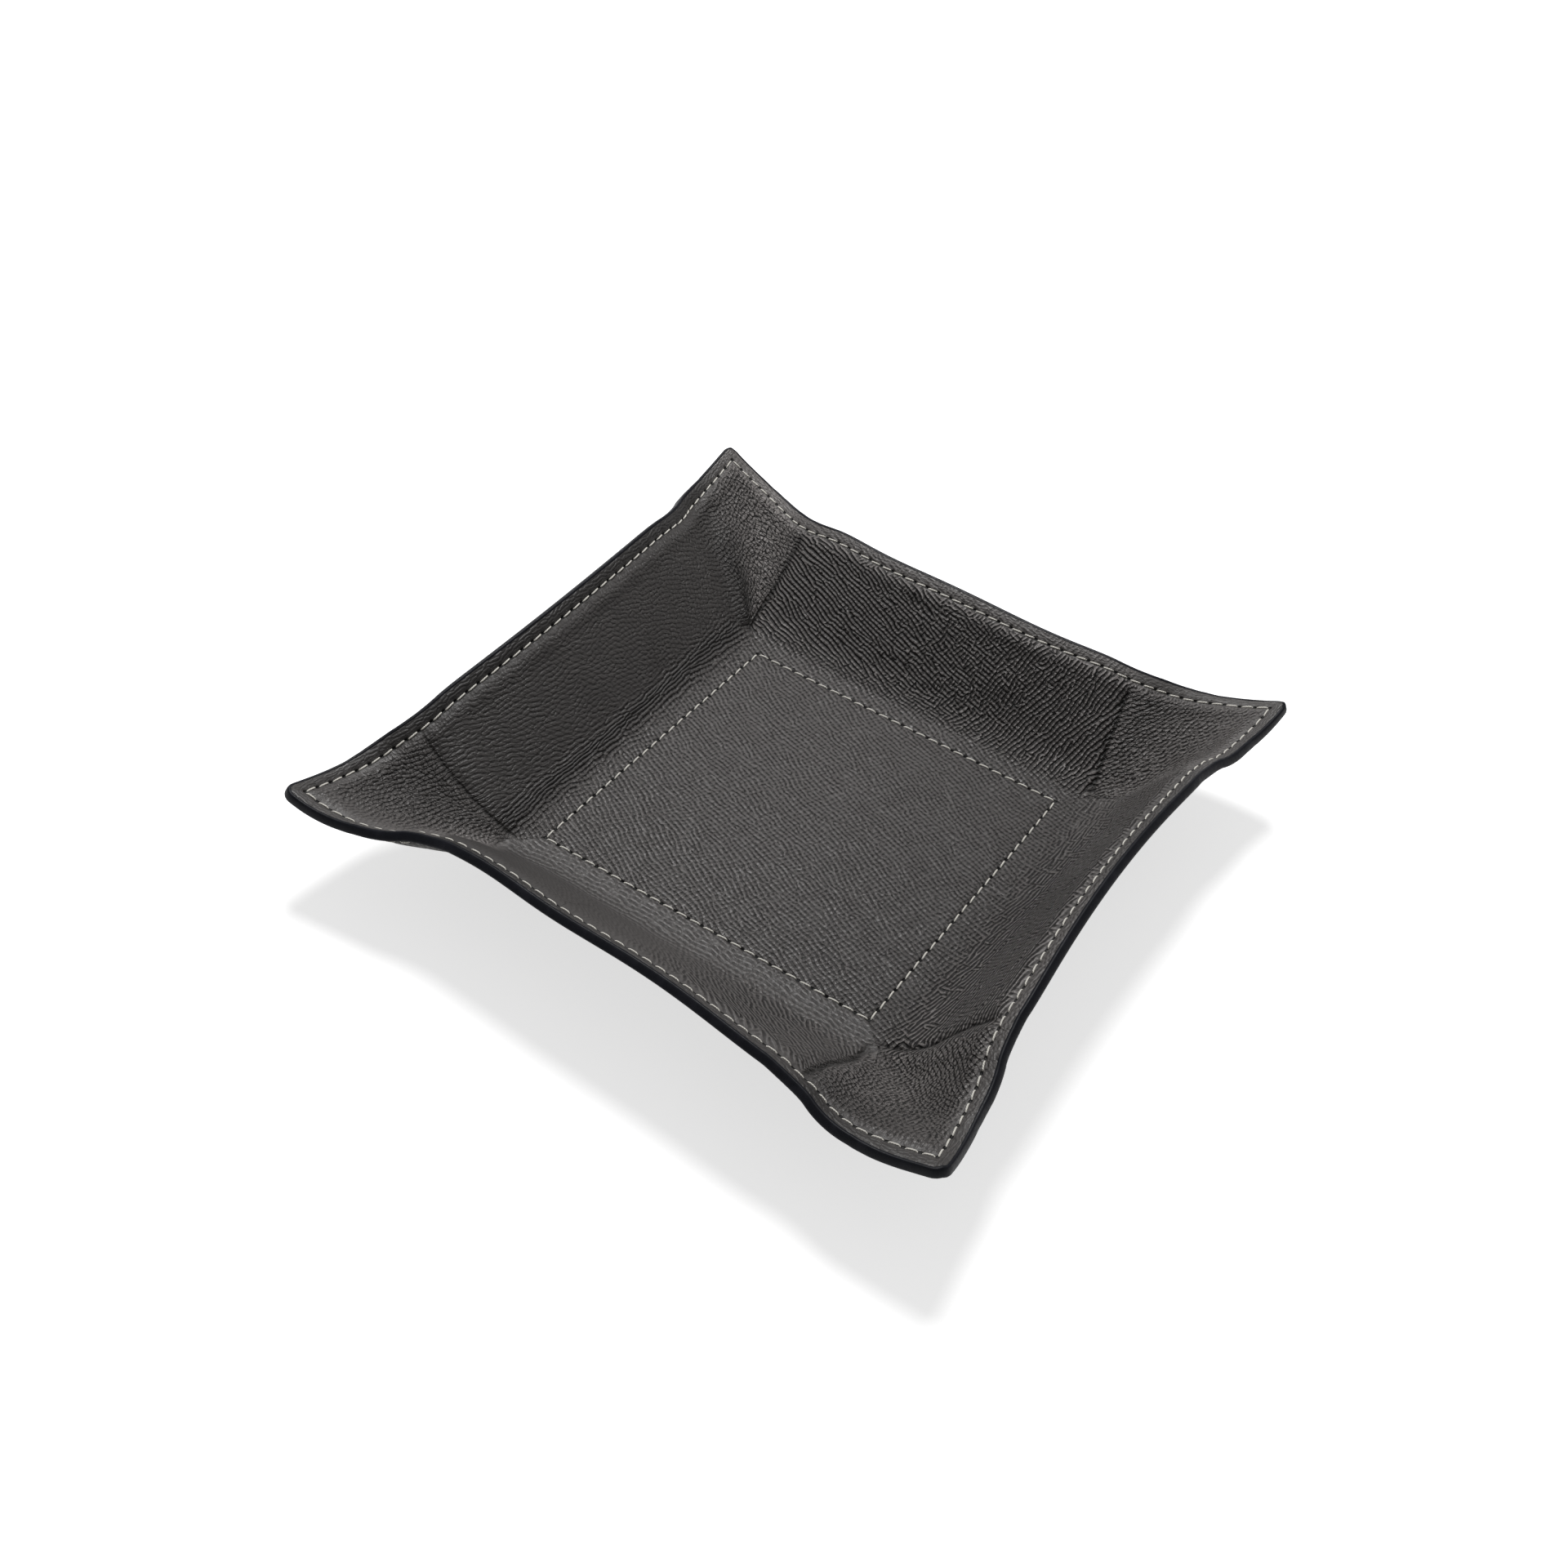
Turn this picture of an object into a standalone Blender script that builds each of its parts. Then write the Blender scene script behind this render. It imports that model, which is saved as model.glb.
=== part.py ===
# Square leather catch-all tray, formed from two flat square leathers.
#
# Inside out it holds: a lining leather, stiffeners (a base board, a board in each wall and
# a stay in each corner), an outer leather, a painted cut edge, and two lock-stitched seams,
# one along the rim and one round the base board. Each seam has its own two threads.
#
# Every layer is drawn in flat coordinates (u, v), the place of a point on the leather before
# it was formed, and is then bent with the same formula. The walls are cylinders that rise from
# the base, and each corner is a spout: a fan of straight lines from the corner of the base,
# which keeps the length of the leather while the fan is pushed down and outwards.
#
# Units are metres, +Z is up, and the underside of the base lies at z = 0.

import math

import bpy
import numpy as np

MM = 0.001

# Flat pattern, from the middle of the tray outwards
BASE_HALF = 55.8 * MM          # middle to the fold at the foot of a wall
WALL_WIDTH = 44.6 * MM         # fold to the cut edge, measured along the leather
FOLD_WIDTH = 10.0 * MM         # leather taken by the bend at the foot of a wall
RIM_MARGIN = 3.5 * MM          # cut edge to the rim seam
TIP_RADIUS = 3.4 * MM          # the four tips of the flat leather are cut round
SEAM_TO_FOLD = 5.8 * MM        # base seam to the fold

# Form
WALL_LEAN = math.radians(52)   # slope of a wall half way along its side
CREASE_LEAN = math.radians(46) # slope where a wall meets a corner spout
WALL_CURL = math.radians(-3)   # slope that a wall gains from its fold to its edge
SPOUT_SHARE = 0.92             # share of the quarter turn that the creases leave to a spout
CREASE_FAN = math.radians(12)  # half width of the rounding across a crease, seen from its foot

# Layers
LEATHER = 1.1 * MM
BOARD = 1.0 * MM
CLEARANCE = 0.3 * MM           # between any two layers
EDGE_PAINT = 0.6 * MM          # thickness of the painted edge
PAINT_ROUNDING = 0.5 * MM      # how far its long corners are rounded off

# Stiffeners: how far each one keeps from what bounds it
BOARD_TO_BASE_SEAM = 1.6 * MM
BOARD_TO_RIM_SEAM = 3.3 * MM
BOARD_TO_FOLD = 5.2 * MM
CREASE_HALF = 2.1 * MM         # half width of the gap between a wall board and a corner stay

# Relief of the faces
CREASE_DEPTH = 0.9 * MM        # the groove pressed in along a crease
RIM_DROP = 0.75 * MM           # the margin lies lower than the padded wall
SEAM_FURROW = 0.2 * MM         # the leather drawn down by the stitches

# Stitching
THREAD_RADIUS = 0.3 * MM
STITCH_PITCH = 3.85 * MM
STITCH_ARCH = 0.25 * MM        # how far a stitch rises between its two holes

# Faceting
WALL_SPLIT_SHARES = (0.11, 0.34, 0.62)   # lines over a wall board, as shares of its width
BASE_SPLIT_SHARES = (0.43, 0.80)         # lines over the base board, as shares of its half
BEND_STEPS = 16                          # steps of the sums along a line of the leather
NORMAL_REACH = 2.0 * MM                  # half the step used to read a surface normal

# Derived sizes
EDGE_HALF = BASE_HALF + WALL_WIDTH
RIM_SEAM_HALF = EDGE_HALF - RIM_MARGIN
BASE_SEAM_HALF = BASE_HALF - SEAM_TO_FOLD
BASE_BOARD_HALF = BASE_SEAM_HALF - BOARD_TO_BASE_SEAM
WALL_BOARD_FOOT = BASE_HALF + BOARD_TO_FOLD
WALL_BOARD_TOP = RIM_SEAM_HALF - BOARD_TO_RIM_SEAM
WALL_BOARD_HALF = BASE_HALF - CREASE_HALF
STAY_START = BASE_HALF + CREASE_HALF
SHEET_GAP = CLEARANCE                    # between the leathers where they lie together
BOARD_GAP = BOARD + 2 * CLEARANCE        # between the leathers over a board
LINING_TOP = 2 * LEATHER + BOARD_GAP     # height of the tray floor

SIDES = ("right", "back", "left", "front")
CORNERS = ("back_right", "back_left", "front_left", "front_right")


def ease(share):
    """Smooth step from 0 to 1."""
    share = np.clip(share, 0, 1)
    return share * share * (3 - 2 * share)


# The bent surface

def slope_after(run, lean):
    """Slope of the leather after a run from the fold or from a corner of the base."""
    return lean * ease(run / FOLD_WIDTH) + WALL_CURL * run / WALL_WIDTH


def fan_direction(turn, slope):
    """Unit vector of the spout's straight line that starts at a flat angle from its first crease.

    The vectors of one slope lie on a small circle of the unit sphere. It passes through both
    crease directions, and its length is the angle that the flat leather has there.
    """
    sine_ratio = 2 * math.sqrt(2) / math.pi * np.cos(slope) / SPOUT_SHARE
    sine_ratio = np.clip(sine_ratio, 0.02, 0.9999)
    half_turn = np.sqrt(6 * (1 - sine_ratio))
    for _ in range(8):
        miss = np.sin(half_turn) / half_turn - sine_ratio
        steepness = (half_turn * np.cos(half_turn) - np.sin(half_turn)) / half_turn ** 2
        half_turn = np.clip(half_turn - miss / steepness, 0.001, 3.1)
    ring = np.clip(SPOUT_SHARE * math.pi / 4 / half_turn, 0, 1)
    hub = np.sqrt(1 - ring ** 2)
    lift = np.arctan2(ring * np.cos(half_turn), hub)
    reach = np.hypot(hub, ring * np.cos(half_turn))
    tilt = lift + np.arcsin(np.clip(np.sin(slope) / reach, -1, 1))
    place = (turn / (math.pi / 4) - 1) * half_turn
    across = np.sin(place) * ring / math.sqrt(2)
    down = np.cos(place) * ring
    outward = (np.cos(tilt) * hub + np.sin(tilt) * down) / math.sqrt(2)
    upward = np.sin(tilt) * hub - np.cos(tilt) * down
    return np.stack(np.broadcast_arrays(outward - across, outward + across, upward), -1)


def bend_quadrant(u, v):
    """Bend flat points of the quadrant u, v > 0, with the creases still sharp."""
    middles = (np.arange(BEND_STEPS) + 0.5) / BEND_STEPS
    place = np.stack([u, v, np.zeros_like(u)], -1)
    for outward, along, axis in ((u, v, 0), (v, u, 1)):
        wall = (outward > BASE_HALF) & (along <= BASE_HALF)
        run = outward[wall] - BASE_HALF
        nearness = np.clip(along[wall] / BASE_HALF, 0, 1) ** 2
        lean = WALL_LEAN + (CREASE_LEAN - WALL_LEAN) * nearness
        slope = slope_after(run[:, None] * middles, lean[:, None])
        place[wall, axis] = BASE_HALF + np.cos(slope).mean(-1) * run
        place[wall, 2] = np.sin(slope).mean(-1) * run
    spout = (u > BASE_HALF) & (v > BASE_HALF)
    reach = np.hypot(u[spout] - BASE_HALF, v[spout] - BASE_HALF)
    turn = np.arctan2(v[spout] - BASE_HALF, u[spout] - BASE_HALF)
    slope = slope_after(reach[:, None] * middles, CREASE_LEAN)
    lines = fan_direction(turn[:, None], slope).mean(1) * reach[:, None]
    place[spout] = np.array([BASE_HALF, BASE_HALF, 0]) + lines
    return place


def form(u, v):
    """Place of flat points on the tray's inner face, with each crease rounded across its fan."""
    u, v = np.broadcast_arrays(np.asarray(u, float), np.asarray(v, float))
    du = np.abs(u) - BASE_HALF
    dv = np.abs(v) - BASE_HALF
    reach = np.hypot(du, dv)
    turn = np.arctan2(dv, du)
    off_crease = np.minimum(np.abs(turn), np.abs(turn - math.pi / 2))
    spread = CREASE_FAN * (1 - ease(off_crease / (2 * CREASE_FAN)))
    spread = np.where((du > 0) | (dv > 0), spread, 0)
    place = 0
    fan_shares = (-1, -0.5, 0, 0.5, 1)
    for share in fan_shares:
        angle = turn + spread * share
        along_u = BASE_HALF + reach * np.cos(angle)
        along_v = BASE_HALF + reach * np.sin(angle)
        place = place + bend_quadrant(along_u, along_v) / len(fan_shares)
    place[..., 0] *= np.where(u < 0, -1, 1)
    place[..., 1] *= np.where(v < 0, -1, 1)
    place[..., 2] += LINING_TOP
    return place


def unit(vectors):
    return vectors / np.linalg.norm(vectors, axis=-1, keepdims=True)


def normal(u, v):
    """Upward normal of the inner face."""
    step_u = form(u + NORMAL_REACH, v) - form(u - NORMAL_REACH, v)
    step_v = form(u, v + NORMAL_REACH) - form(u, v - NORMAL_REACH)
    return unit(np.cross(step_u, step_v))


def outward_step(u, v):
    """Unit vector along the leather, away from the middle, square to the nearer edge."""
    toward = np.stack([np.where(np.abs(u) >= np.abs(v), np.sign(u), 0),
                       np.where(np.abs(v) >= np.abs(u), np.sign(v), 0)], -1)
    ahead = form(u + toward[..., 0] * NORMAL_REACH, v + toward[..., 1] * NORMAL_REACH)
    behind = form(u - toward[..., 0] * NORMAL_REACH, v - toward[..., 1] * NORMAL_REACH)
    return unit(ahead - behind)


# Relief: where the faces of the layers lie, measured from the inner face along its normal

def between(value, start, end):
    """1 where start <= value <= end. The tolerance only takes up rounding errors."""
    tolerance = CLEARANCE / 100
    return (value > start - tolerance) & (value < end + tolerance)


def over_board(u, v):
    """True where a board, or a corner stay, lies between the leathers."""
    u, v = np.abs(u), np.abs(v)
    base = between(u, 0, BASE_BOARD_HALF) & between(v, 0, BASE_BOARD_HALF)
    rise_u = between(u, WALL_BOARD_FOOT, WALL_BOARD_TOP)
    rise_v = between(v, WALL_BOARD_FOOT, WALL_BOARD_TOP)
    walls = (rise_u & between(v, 0, WALL_BOARD_HALF)) | (rise_v & between(u, 0, WALL_BOARD_HALF))
    stays = between(u, STAY_START, WALL_BOARD_TOP) & between(v, STAY_START, WALL_BOARD_TOP)
    return base | walls | stays


def seam_distance(u, v, half):
    return np.abs(np.maximum(np.abs(u), np.abs(v)) - half)


def lining_top(u, v):
    """The relief of the face that shows inside the tray."""
    u, v = np.broadcast_arrays(np.asarray(u, float), np.asarray(v, float))
    out = np.maximum(np.abs(u), np.abs(v))
    low = np.minimum(np.abs(u), np.abs(v))
    rim = RIM_DROP * ease((out - WALL_BOARD_TOP) / BOARD_TO_RIM_SEAM)
    furrow = 0
    for half in (BASE_SEAM_HALF, RIM_SEAM_HALF):
        furrow = furrow + SEAM_FURROW * (1 - ease(seam_distance(u, v, half) / BOARD_TO_BASE_SEAM))
    groove = CREASE_DEPTH * (1 - ease(np.abs(low - BASE_HALF) / CREASE_HALF))
    groove = groove * ease((out - BASE_HALF) / BOARD_TO_FOLD)
    groove = groove * (1 - ease((out - WALL_BOARD_TOP) / BOARD_TO_RIM_SEAM))
    return -(rim + furrow + groove)


def lining_bottom(u, v):
    return lining_top(u, v) - LEATHER


def board_top(u, v):
    return lining_bottom(u, v) - CLEARANCE


def board_bottom(u, v):
    return board_top(u, v) - BOARD


def outer_top(u, v):
    return lining_bottom(u, v) - np.where(over_board(u, v), BOARD_GAP, SHEET_GAP)


def outer_bottom(u, v):
    return outer_top(u, v) - LEATHER


# Meshes

def pattern_lines():
    """Lines of the flat pattern, from the middle to one edge."""
    base = [share * BASE_BOARD_HALF for share in BASE_SPLIT_SHARES]
    seam = [BASE_BOARD_HALF, BASE_SEAM_HALF, BASE_SEAM_HALF + BOARD_TO_BASE_SEAM]
    crease = [WALL_BOARD_HALF, BASE_HALF, STAY_START, WALL_BOARD_FOOT]
    board_width = WALL_BOARD_TOP - WALL_BOARD_FOOT
    wall = [WALL_BOARD_FOOT + share * board_width for share in WALL_SPLIT_SHARES]
    rim = [WALL_BOARD_TOP, RIM_SEAM_HALF, EDGE_HALF]
    return sorted(base + seam + crease + wall + rim)


def lines_within(start, end):
    """The lines of the whole pattern from start to end."""
    half = pattern_lines()
    whole = sorted([-line for line in half] + half)
    return np.array([line for line in whole if between(line, start, end)])


def round_tips(u, v):
    """Pull the corner cells of the square in, so that its tips are round."""
    core = EDGE_HALF - TIP_RADIUS
    past_u = (np.abs(u) - core) / TIP_RADIUS
    past_v = (np.abs(v) - core) / TIP_RADIUS
    tip = (past_u > 0) & (past_v > 0)
    reach = np.maximum(past_u, past_v) / np.maximum(np.hypot(past_u, past_v), 0.001)
    new_u = np.sign(u) * (core + past_u * reach * TIP_RADIUS)
    new_v = np.sign(v) * (core + past_v * reach * TIP_RADIUS)
    return np.where(tip, new_u, u), np.where(tip, new_v, v)


def sheet_point(u, v, height):
    """Place of flat points, at a height over the inner face along its normal."""
    u, v = round_tips(u, v)
    return form(u, v) + normal(u, v) * np.asarray(height)[..., None]


def add_object(name, vertices, faces, finish):
    mesh = bpy.data.meshes.new(name)
    mesh.from_pydata([tuple(vertex) for vertex in vertices], [], faces)
    mesh.validate()
    mesh.shade_smooth()
    mesh.set_sharp_from_angle(angle=math.radians(50))
    mesh.materials.append(finish)
    node = bpy.data.objects.new(name, mesh)
    bpy.context.scene.collection.objects.link(node)
    return node


def add_layer(name, u_lines, v_lines, top, bottom, finish):
    """A closed sheet over a patch of the pattern, between two relief functions."""
    u, v = np.meshgrid(u_lines, v_lines, indexing="ij")
    upper = sheet_point(u, v, top(u, v)).reshape(-1, 3)
    lower = sheet_point(u, v, bottom(u, v)).reshape(-1, 3)
    rows, columns = u.shape
    below = rows * columns
    faces = []
    for i in range(rows - 1):
        for j in range(columns - 1):
            a, b = i * columns + j, (i + 1) * columns + j
            c, d = b + 1, a + 1
            middle_u = u_lines[i] + u_lines[i + 1]
            middle_v = v_lines[j] + v_lines[j + 1]
            if middle_u * middle_v > 0:
                cells = [(a, b, c), (a, c, d)]
            else:
                cells = [(a, b, d), (b, c, d)]
            for cell in cells:
                faces.append(cell)
                faces.append(tuple(below + corner for corner in reversed(cell)))
    border = [i * columns for i in range(rows)]
    border += [(rows - 1) * columns + j for j in range(1, columns)]
    border += [i * columns + columns - 1 for i in range(rows - 2, -1, -1)]
    border += [j for j in range(columns - 2, 0, -1)]
    for here, there in zip(border, border[1:] + border[:1]):
        faces.append((here, below + here, below + there, there))
    return add_object(name, np.concatenate([upper, lower]), faces, finish)


def ring_pattern(half):
    """Flat points of a square of the pattern, once round, from its right side's middle."""
    lines = lines_within(-half, half)
    side = [(half, line) for line in lines[:-1]]
    points = []
    for _ in SIDES:
        points += side
        side = [(-v, u) for u, v in side]
    return np.array(points)


def add_ring(name, places, outward, upward, section, finish):
    """A closed strip along places. Section gives each corner's offsets outward and upward."""
    count = len(places)
    corners = len(section)
    vertices = []
    for out, up in section:
        out, up = np.broadcast_to(out, count), np.broadcast_to(up, count)
        vertices.append(places + outward * out[:, None] + upward * up[:, None])
    vertices = np.concatenate(vertices)
    faces = []
    for corner in range(corners):
        beside = (corner + 1) % corners
        for here in range(count):
            there = (here + 1) % count
            quad = (corner * count + here, corner * count + there,
                    beside * count + there, beside * count + here)
            faces.append((quad[0], quad[1], quad[2]))
            faces.append((quad[0], quad[2], quad[3]))
    return add_object(name, vertices, faces, finish)


def seam_frame(half, relief):
    """Places, outward vectors and normals at the pattern's lines along a seam."""
    flat = ring_pattern(half)
    u, v = flat[:, 0], flat[:, 1]
    up = normal(u, v)
    out = outward_step(u, v)
    corner = between(np.abs(np.abs(u) - np.abs(v)), 0, 0)
    out = np.where(corner[:, None], out * math.sqrt(2), out)
    return form(u, v) + up * relief(u, v)[:, None], out, up, flat


def along_seam(frame, stitch_points):
    """Read a seam's frame at points spaced evenly along each side, in flat measure."""
    places, out, up, flat = frame
    per_side = len(places) // len(SIDES)
    columns = []
    for side in range(len(SIDES)):
        index = (side * per_side + np.arange(per_side + 1)) % len(places)
        stretch = np.linalg.norm(np.diff(flat[index], axis=0), axis=1)
        travel = np.concatenate([[0], np.cumsum(stretch)])
        stops = np.linspace(0, travel[-1], stitch_points + 1)[:-1]
        rows = [np.stack([np.interp(stops, travel, field[index, axis]) for axis in range(3)], -1)
                for field in (places, out, up)]
        columns.append(rows)
    return [np.concatenate([rows[field] for rows in columns]) for field in range(3)]


def thread_section(height):
    """Three corners of a thread whose middle lies at a height over the leather."""
    third = 2 * math.pi / 3
    return [(-THREAD_RADIUS * math.sin(turn * third), height + THREAD_RADIUS * math.cos(turn * third))
            for turn in range(3)]


def add_needle_thread(name, half, finish):
    """The thread that shows inside: it rises between each two needle holes."""
    stitches = round(2 * half / STITCH_PITCH)
    places, out, up = along_seam(seam_frame(half, lining_top), 2 * stitches)
    rest = CLEARANCE + THREAD_RADIUS
    height = rest + STITCH_ARCH * (np.arange(len(places)) % 2)
    return add_ring(name, places, out, up, thread_section(height), finish)


def add_bobbin_thread(name, half, finish):
    """The thread on the outside, which lies in the furrow of the seam."""
    places, out, up, _ = seam_frame(half, outer_bottom)
    height = -(CLEARANCE + THREAD_RADIUS)
    return add_ring(name, places, out, up, thread_section(height), finish)


def add_painted_edge(name, finish):
    """The paint on the cut edges of both leathers, as one strip round the rim."""
    flat = ring_pattern(EDGE_HALF)
    u, v = round_tips(flat[:, 0], flat[:, 1])
    up = normal(u, v)
    top = lining_top(u, v)
    bottom = outer_bottom(u, v)
    places = form(u, v)
    along = np.roll(places, -1, axis=0) - np.roll(places, 1, axis=0)
    out = unit(np.cross(along, up))
    near, far = CLEARANCE, CLEARANCE + EDGE_PAINT
    section = [(near, bottom), (far, bottom + PAINT_ROUNDING),
               (far, top - PAINT_ROUNDING), (near, top)]
    return add_ring(name, places, out, up, section, finish)


def make_finish(name, colour, roughness):
    finish = bpy.data.materials.new(name)
    finish.use_nodes = True
    surface = finish.node_tree.nodes["Principled BSDF"]
    surface.inputs["Base Color"].default_value = (*colour, 1)
    surface.inputs["Roughness"].default_value = roughness
    surface.inputs["Metallic"].default_value = 0
    return finish


def turned(side, lines_out, lines_along):
    """Pattern lines of a patch on the right side, turned to another side: 0 right, 1 back, ..."""
    if side == 0:
        return lines_out, lines_along
    if side == 1:
        return lines_along, lines_out
    if side == 2:
        return -lines_out[::-1], lines_along
    return lines_along, -lines_out[::-1]


def main():
    for item in list(bpy.data.objects):
        bpy.data.objects.remove(item)

    lining = make_finish("lining_leather", (0.072, 0.068, 0.064), 0.5)
    outer = make_finish("outer_leather", (0.060, 0.057, 0.054), 0.55)
    board = make_finish("bonded_board", (0.36, 0.27, 0.18), 0.8)
    paint = make_finish("edge_paint", (0.008, 0.009, 0.014), 0.3)
    thread = make_finish("thread", (0.72, 0.69, 0.62), 0.6)

    whole = lines_within(-EDGE_HALF, EDGE_HALF)
    add_layer("lining_leather", whole, whole, lining_top, lining_bottom, lining)
    add_layer("outer_leather", whole, whole, outer_top, outer_bottom, outer)

    floor = np.array([-BASE_BOARD_HALF, BASE_BOARD_HALF])
    add_layer("base_board", floor, floor, board_top, board_bottom, board)

    rise = lines_within(WALL_BOARD_FOOT, WALL_BOARD_TOP)
    along = lines_within(-WALL_BOARD_HALF, WALL_BOARD_HALF)
    for side, name in enumerate(SIDES):
        u_lines, v_lines = turned(side, rise, along)
        add_layer("wall_board_" + name, u_lines, v_lines, board_top, board_bottom, board)

    spout = lines_within(STAY_START, WALL_BOARD_TOP)
    for name in CORNERS:
        u_lines = spout if "right" in name else -spout[::-1]
        v_lines = spout if "back" in name else -spout[::-1]
        add_layer("corner_stay_" + name, u_lines, v_lines, board_top, board_bottom, board)

    add_painted_edge("painted_edge", paint)
    add_needle_thread("rim_needle_thread", RIM_SEAM_HALF, thread)
    add_bobbin_thread("rim_bobbin_thread", RIM_SEAM_HALF, thread)
    add_needle_thread("base_needle_thread", BASE_SEAM_HALF, thread)
    add_bobbin_thread("base_bobbin_thread", BASE_SEAM_HALF, thread)


main()
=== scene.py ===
from functools import partialmethod
import math

import bpy
import numpy as np
from mathutils import Matrix, Vector


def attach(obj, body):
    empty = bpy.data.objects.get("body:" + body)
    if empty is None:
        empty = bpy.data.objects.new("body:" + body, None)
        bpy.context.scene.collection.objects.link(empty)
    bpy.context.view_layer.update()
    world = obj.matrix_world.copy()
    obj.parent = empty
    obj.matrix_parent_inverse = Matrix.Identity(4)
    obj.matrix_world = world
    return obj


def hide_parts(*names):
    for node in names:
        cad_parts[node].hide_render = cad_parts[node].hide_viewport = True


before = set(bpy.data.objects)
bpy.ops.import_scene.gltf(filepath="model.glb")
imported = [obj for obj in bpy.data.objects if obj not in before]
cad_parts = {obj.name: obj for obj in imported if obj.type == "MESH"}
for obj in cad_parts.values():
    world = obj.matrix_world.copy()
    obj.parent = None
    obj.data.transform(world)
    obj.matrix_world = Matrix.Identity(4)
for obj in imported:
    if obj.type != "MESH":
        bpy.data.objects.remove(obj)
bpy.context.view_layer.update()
print("frame loaded:", len(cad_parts), "pieces")

mm = 0.001
deg = math.pi / 180

# The tray as flat leather, from its middle outwards, and how it is bent: the CAD part's own sizes
tray = {
    "baseHalf": 55.8 * mm,      # middle to the fold at the foot of a wall
    "wallWidth": 44.6 * mm,     # fold to cut edge, along the leather
    "foldWidth": 10 * mm,
    "rimMargin": 3.5 * mm,      # cut edge to rim seam
    "underPaint": 0.45 * mm,    # the leather runs out under the paint
    "tipRadius": 3.4 * mm,
    "seamToFold": 5.8 * mm,
    "wallLean": 52 * deg,
    "creaseLean": 46 * deg,
    "wallCurl": -3 * deg,
    "spoutShare": 0.92,
    "creaseFan": 12 * deg,
    "creaseRound": 1.3,         # a crease is rounded this much wider than in the CAD part, in finer steps
    "creaseSteps": 17,
    "leather": 1.1 * mm,
    "board": 1.0 * mm,
    "clearance": 0.3 * mm,
    "boardToBaseSeam": 1.6 * mm,
    "boardToRimSeam": 3.3 * mm,
    "boardToFold": 5.2 * mm,
    "creaseHalf": 2.1 * mm,
    "rimDrop": 0.75 * mm,       # the sewn margin lies lower than the padded wall
}
baseHalf = tray["baseHalf"]
rimSeamHalf = baseHalf + tray["wallWidth"] - tray["rimMargin"]
edgeHalf = rimSeamHalf + tray["rimMargin"] + tray["underPaint"]
baseSeamHalf = baseHalf - tray["seamToFold"]
seams = (baseSeamHalf, rimSeamHalf)
boardEdge = baseSeamHalf - tray["boardToBaseSeam"]
wallBoardFoot = baseHalf + tray["boardToFold"]
wallBoardTop = rimSeamHalf - tray["boardToRimSeam"]
wallBoardHalf = baseHalf - tray["creaseHalf"]
stayStart = baseHalf + tray["creaseHalf"]
boardGap = tray["board"] + 2 * tray["clearance"]
floorHeight = 2 * tray["leather"] + boardGap

# Values of the four sides stand in this order, and those of the four corners in the order of cornerSigns
sideNames = ("right", "back", "left", "front")
cornerSigns = ((-1, -1), (1, -1), (-1, 1), (1, 1))
cornerBlend = 16 * mm           # the values of two sides pass into each other over this width

# How this tray has slouched, millimetres. Tips move by (x, y, z) and sides by (outward, up). Pulls act on
# part of a rim: side, place along it from its middle, (outward, up) and reach
slouch = {
    "tips": {(-1, 1): (0.2, 1.9, 2.4), (1, 1): (-4.3, 0.8, 2.2),
             (1, -1): (-3.1, -1.6, 1.2), (-1, -1): (1.4, -0.2, -2.4)},
    "sides": ((-0.9, 2.2), (-6.0, -5.0), (-2.6, 1.6), (2.3, 0.0)),
    "pulls": [
        ("front", -66, (-4.0, 3.8), 28), ("front", -36, (-1.4, 1.3), 18), ("front", 48, (1.6, -0.6), 26),
        ("front", 80, (1.5, 0.0), 16), ("right", -77, (-2.2, 0.0), 20), ("right", 78, (-3.0, 0.4), 20),
        ("left", -80, (-2.2, 0.0), 16), ("back", 30, (-0.6, -0.6), 22), ("back", 74, (-1.0, -0.7), 16),
        ("back", -64, (-1.6, -1.2), 14), ("back", -30, (-0.6, -0.6), 18),
    ],
}

# Creases of the corners: start near the base and end near the rim, bow to the right, depth and half width,
# in millimetres, how sharp the pinch of each is, from 0 to 1, which also sets how dark its painted shade
# is, and how softly the grain changes across it
creaseCorners = ((-1, 1), (1, 1), (1, -1), (-1, -1))
backFrontCreases = [
    ((-58.0, 56.1), (-58.4, 96.0), 0.0, 1.00, 2.00, 0.9, 2.2),
    ((56.1, 58.5), (55.3, 96.0), 0.0, 0.90, 1.30, 1.0, 1.2),
    ((54.4, -57.0), (57.6, -98.0), 0.8, 1.10, 2.20, 0.85, 2.5),
    ((-57.2, -57.0), (-53.0, -80.0), 0.0, 0.45, 2.00, 0.20, 3.0),
]
leftRightCreases = [
    ((-60.0, 52.0), (-95.0, 77.5), -3.8, 0.90, 5.50, 0.0, 14.0),
    ((59.0, 56.8), (96.4, 49.6), -4.0, 0.35, 1.00, 0.45, 2.0),
    ((56.4, -54.6), (97.0, -51.6), -2.3, 1.10, 1.60, 0.85, 1.5),
    ((-56.4, -54.9), (-96.5, -58.3), -1.3, 0.70, 1.20, 0.65, 2.0),
]

# Broad swelling of the leather in the back left corner, millimetres
swelling = {"middle": (-76, 71), "direction": 145 * deg, "length": 17, "width": 7.0, "height": 2.8}

# Where each wall starts to bend up, from its fold, and over what width, millimetres
feet = ((-3, 23), (-6, 22), (-5.5, 12), (-2, 13))

# How steeply the sewn margin of each side turns outward from its wall
flare = (0.22, 0.34, 0.05, 0.08)

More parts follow.
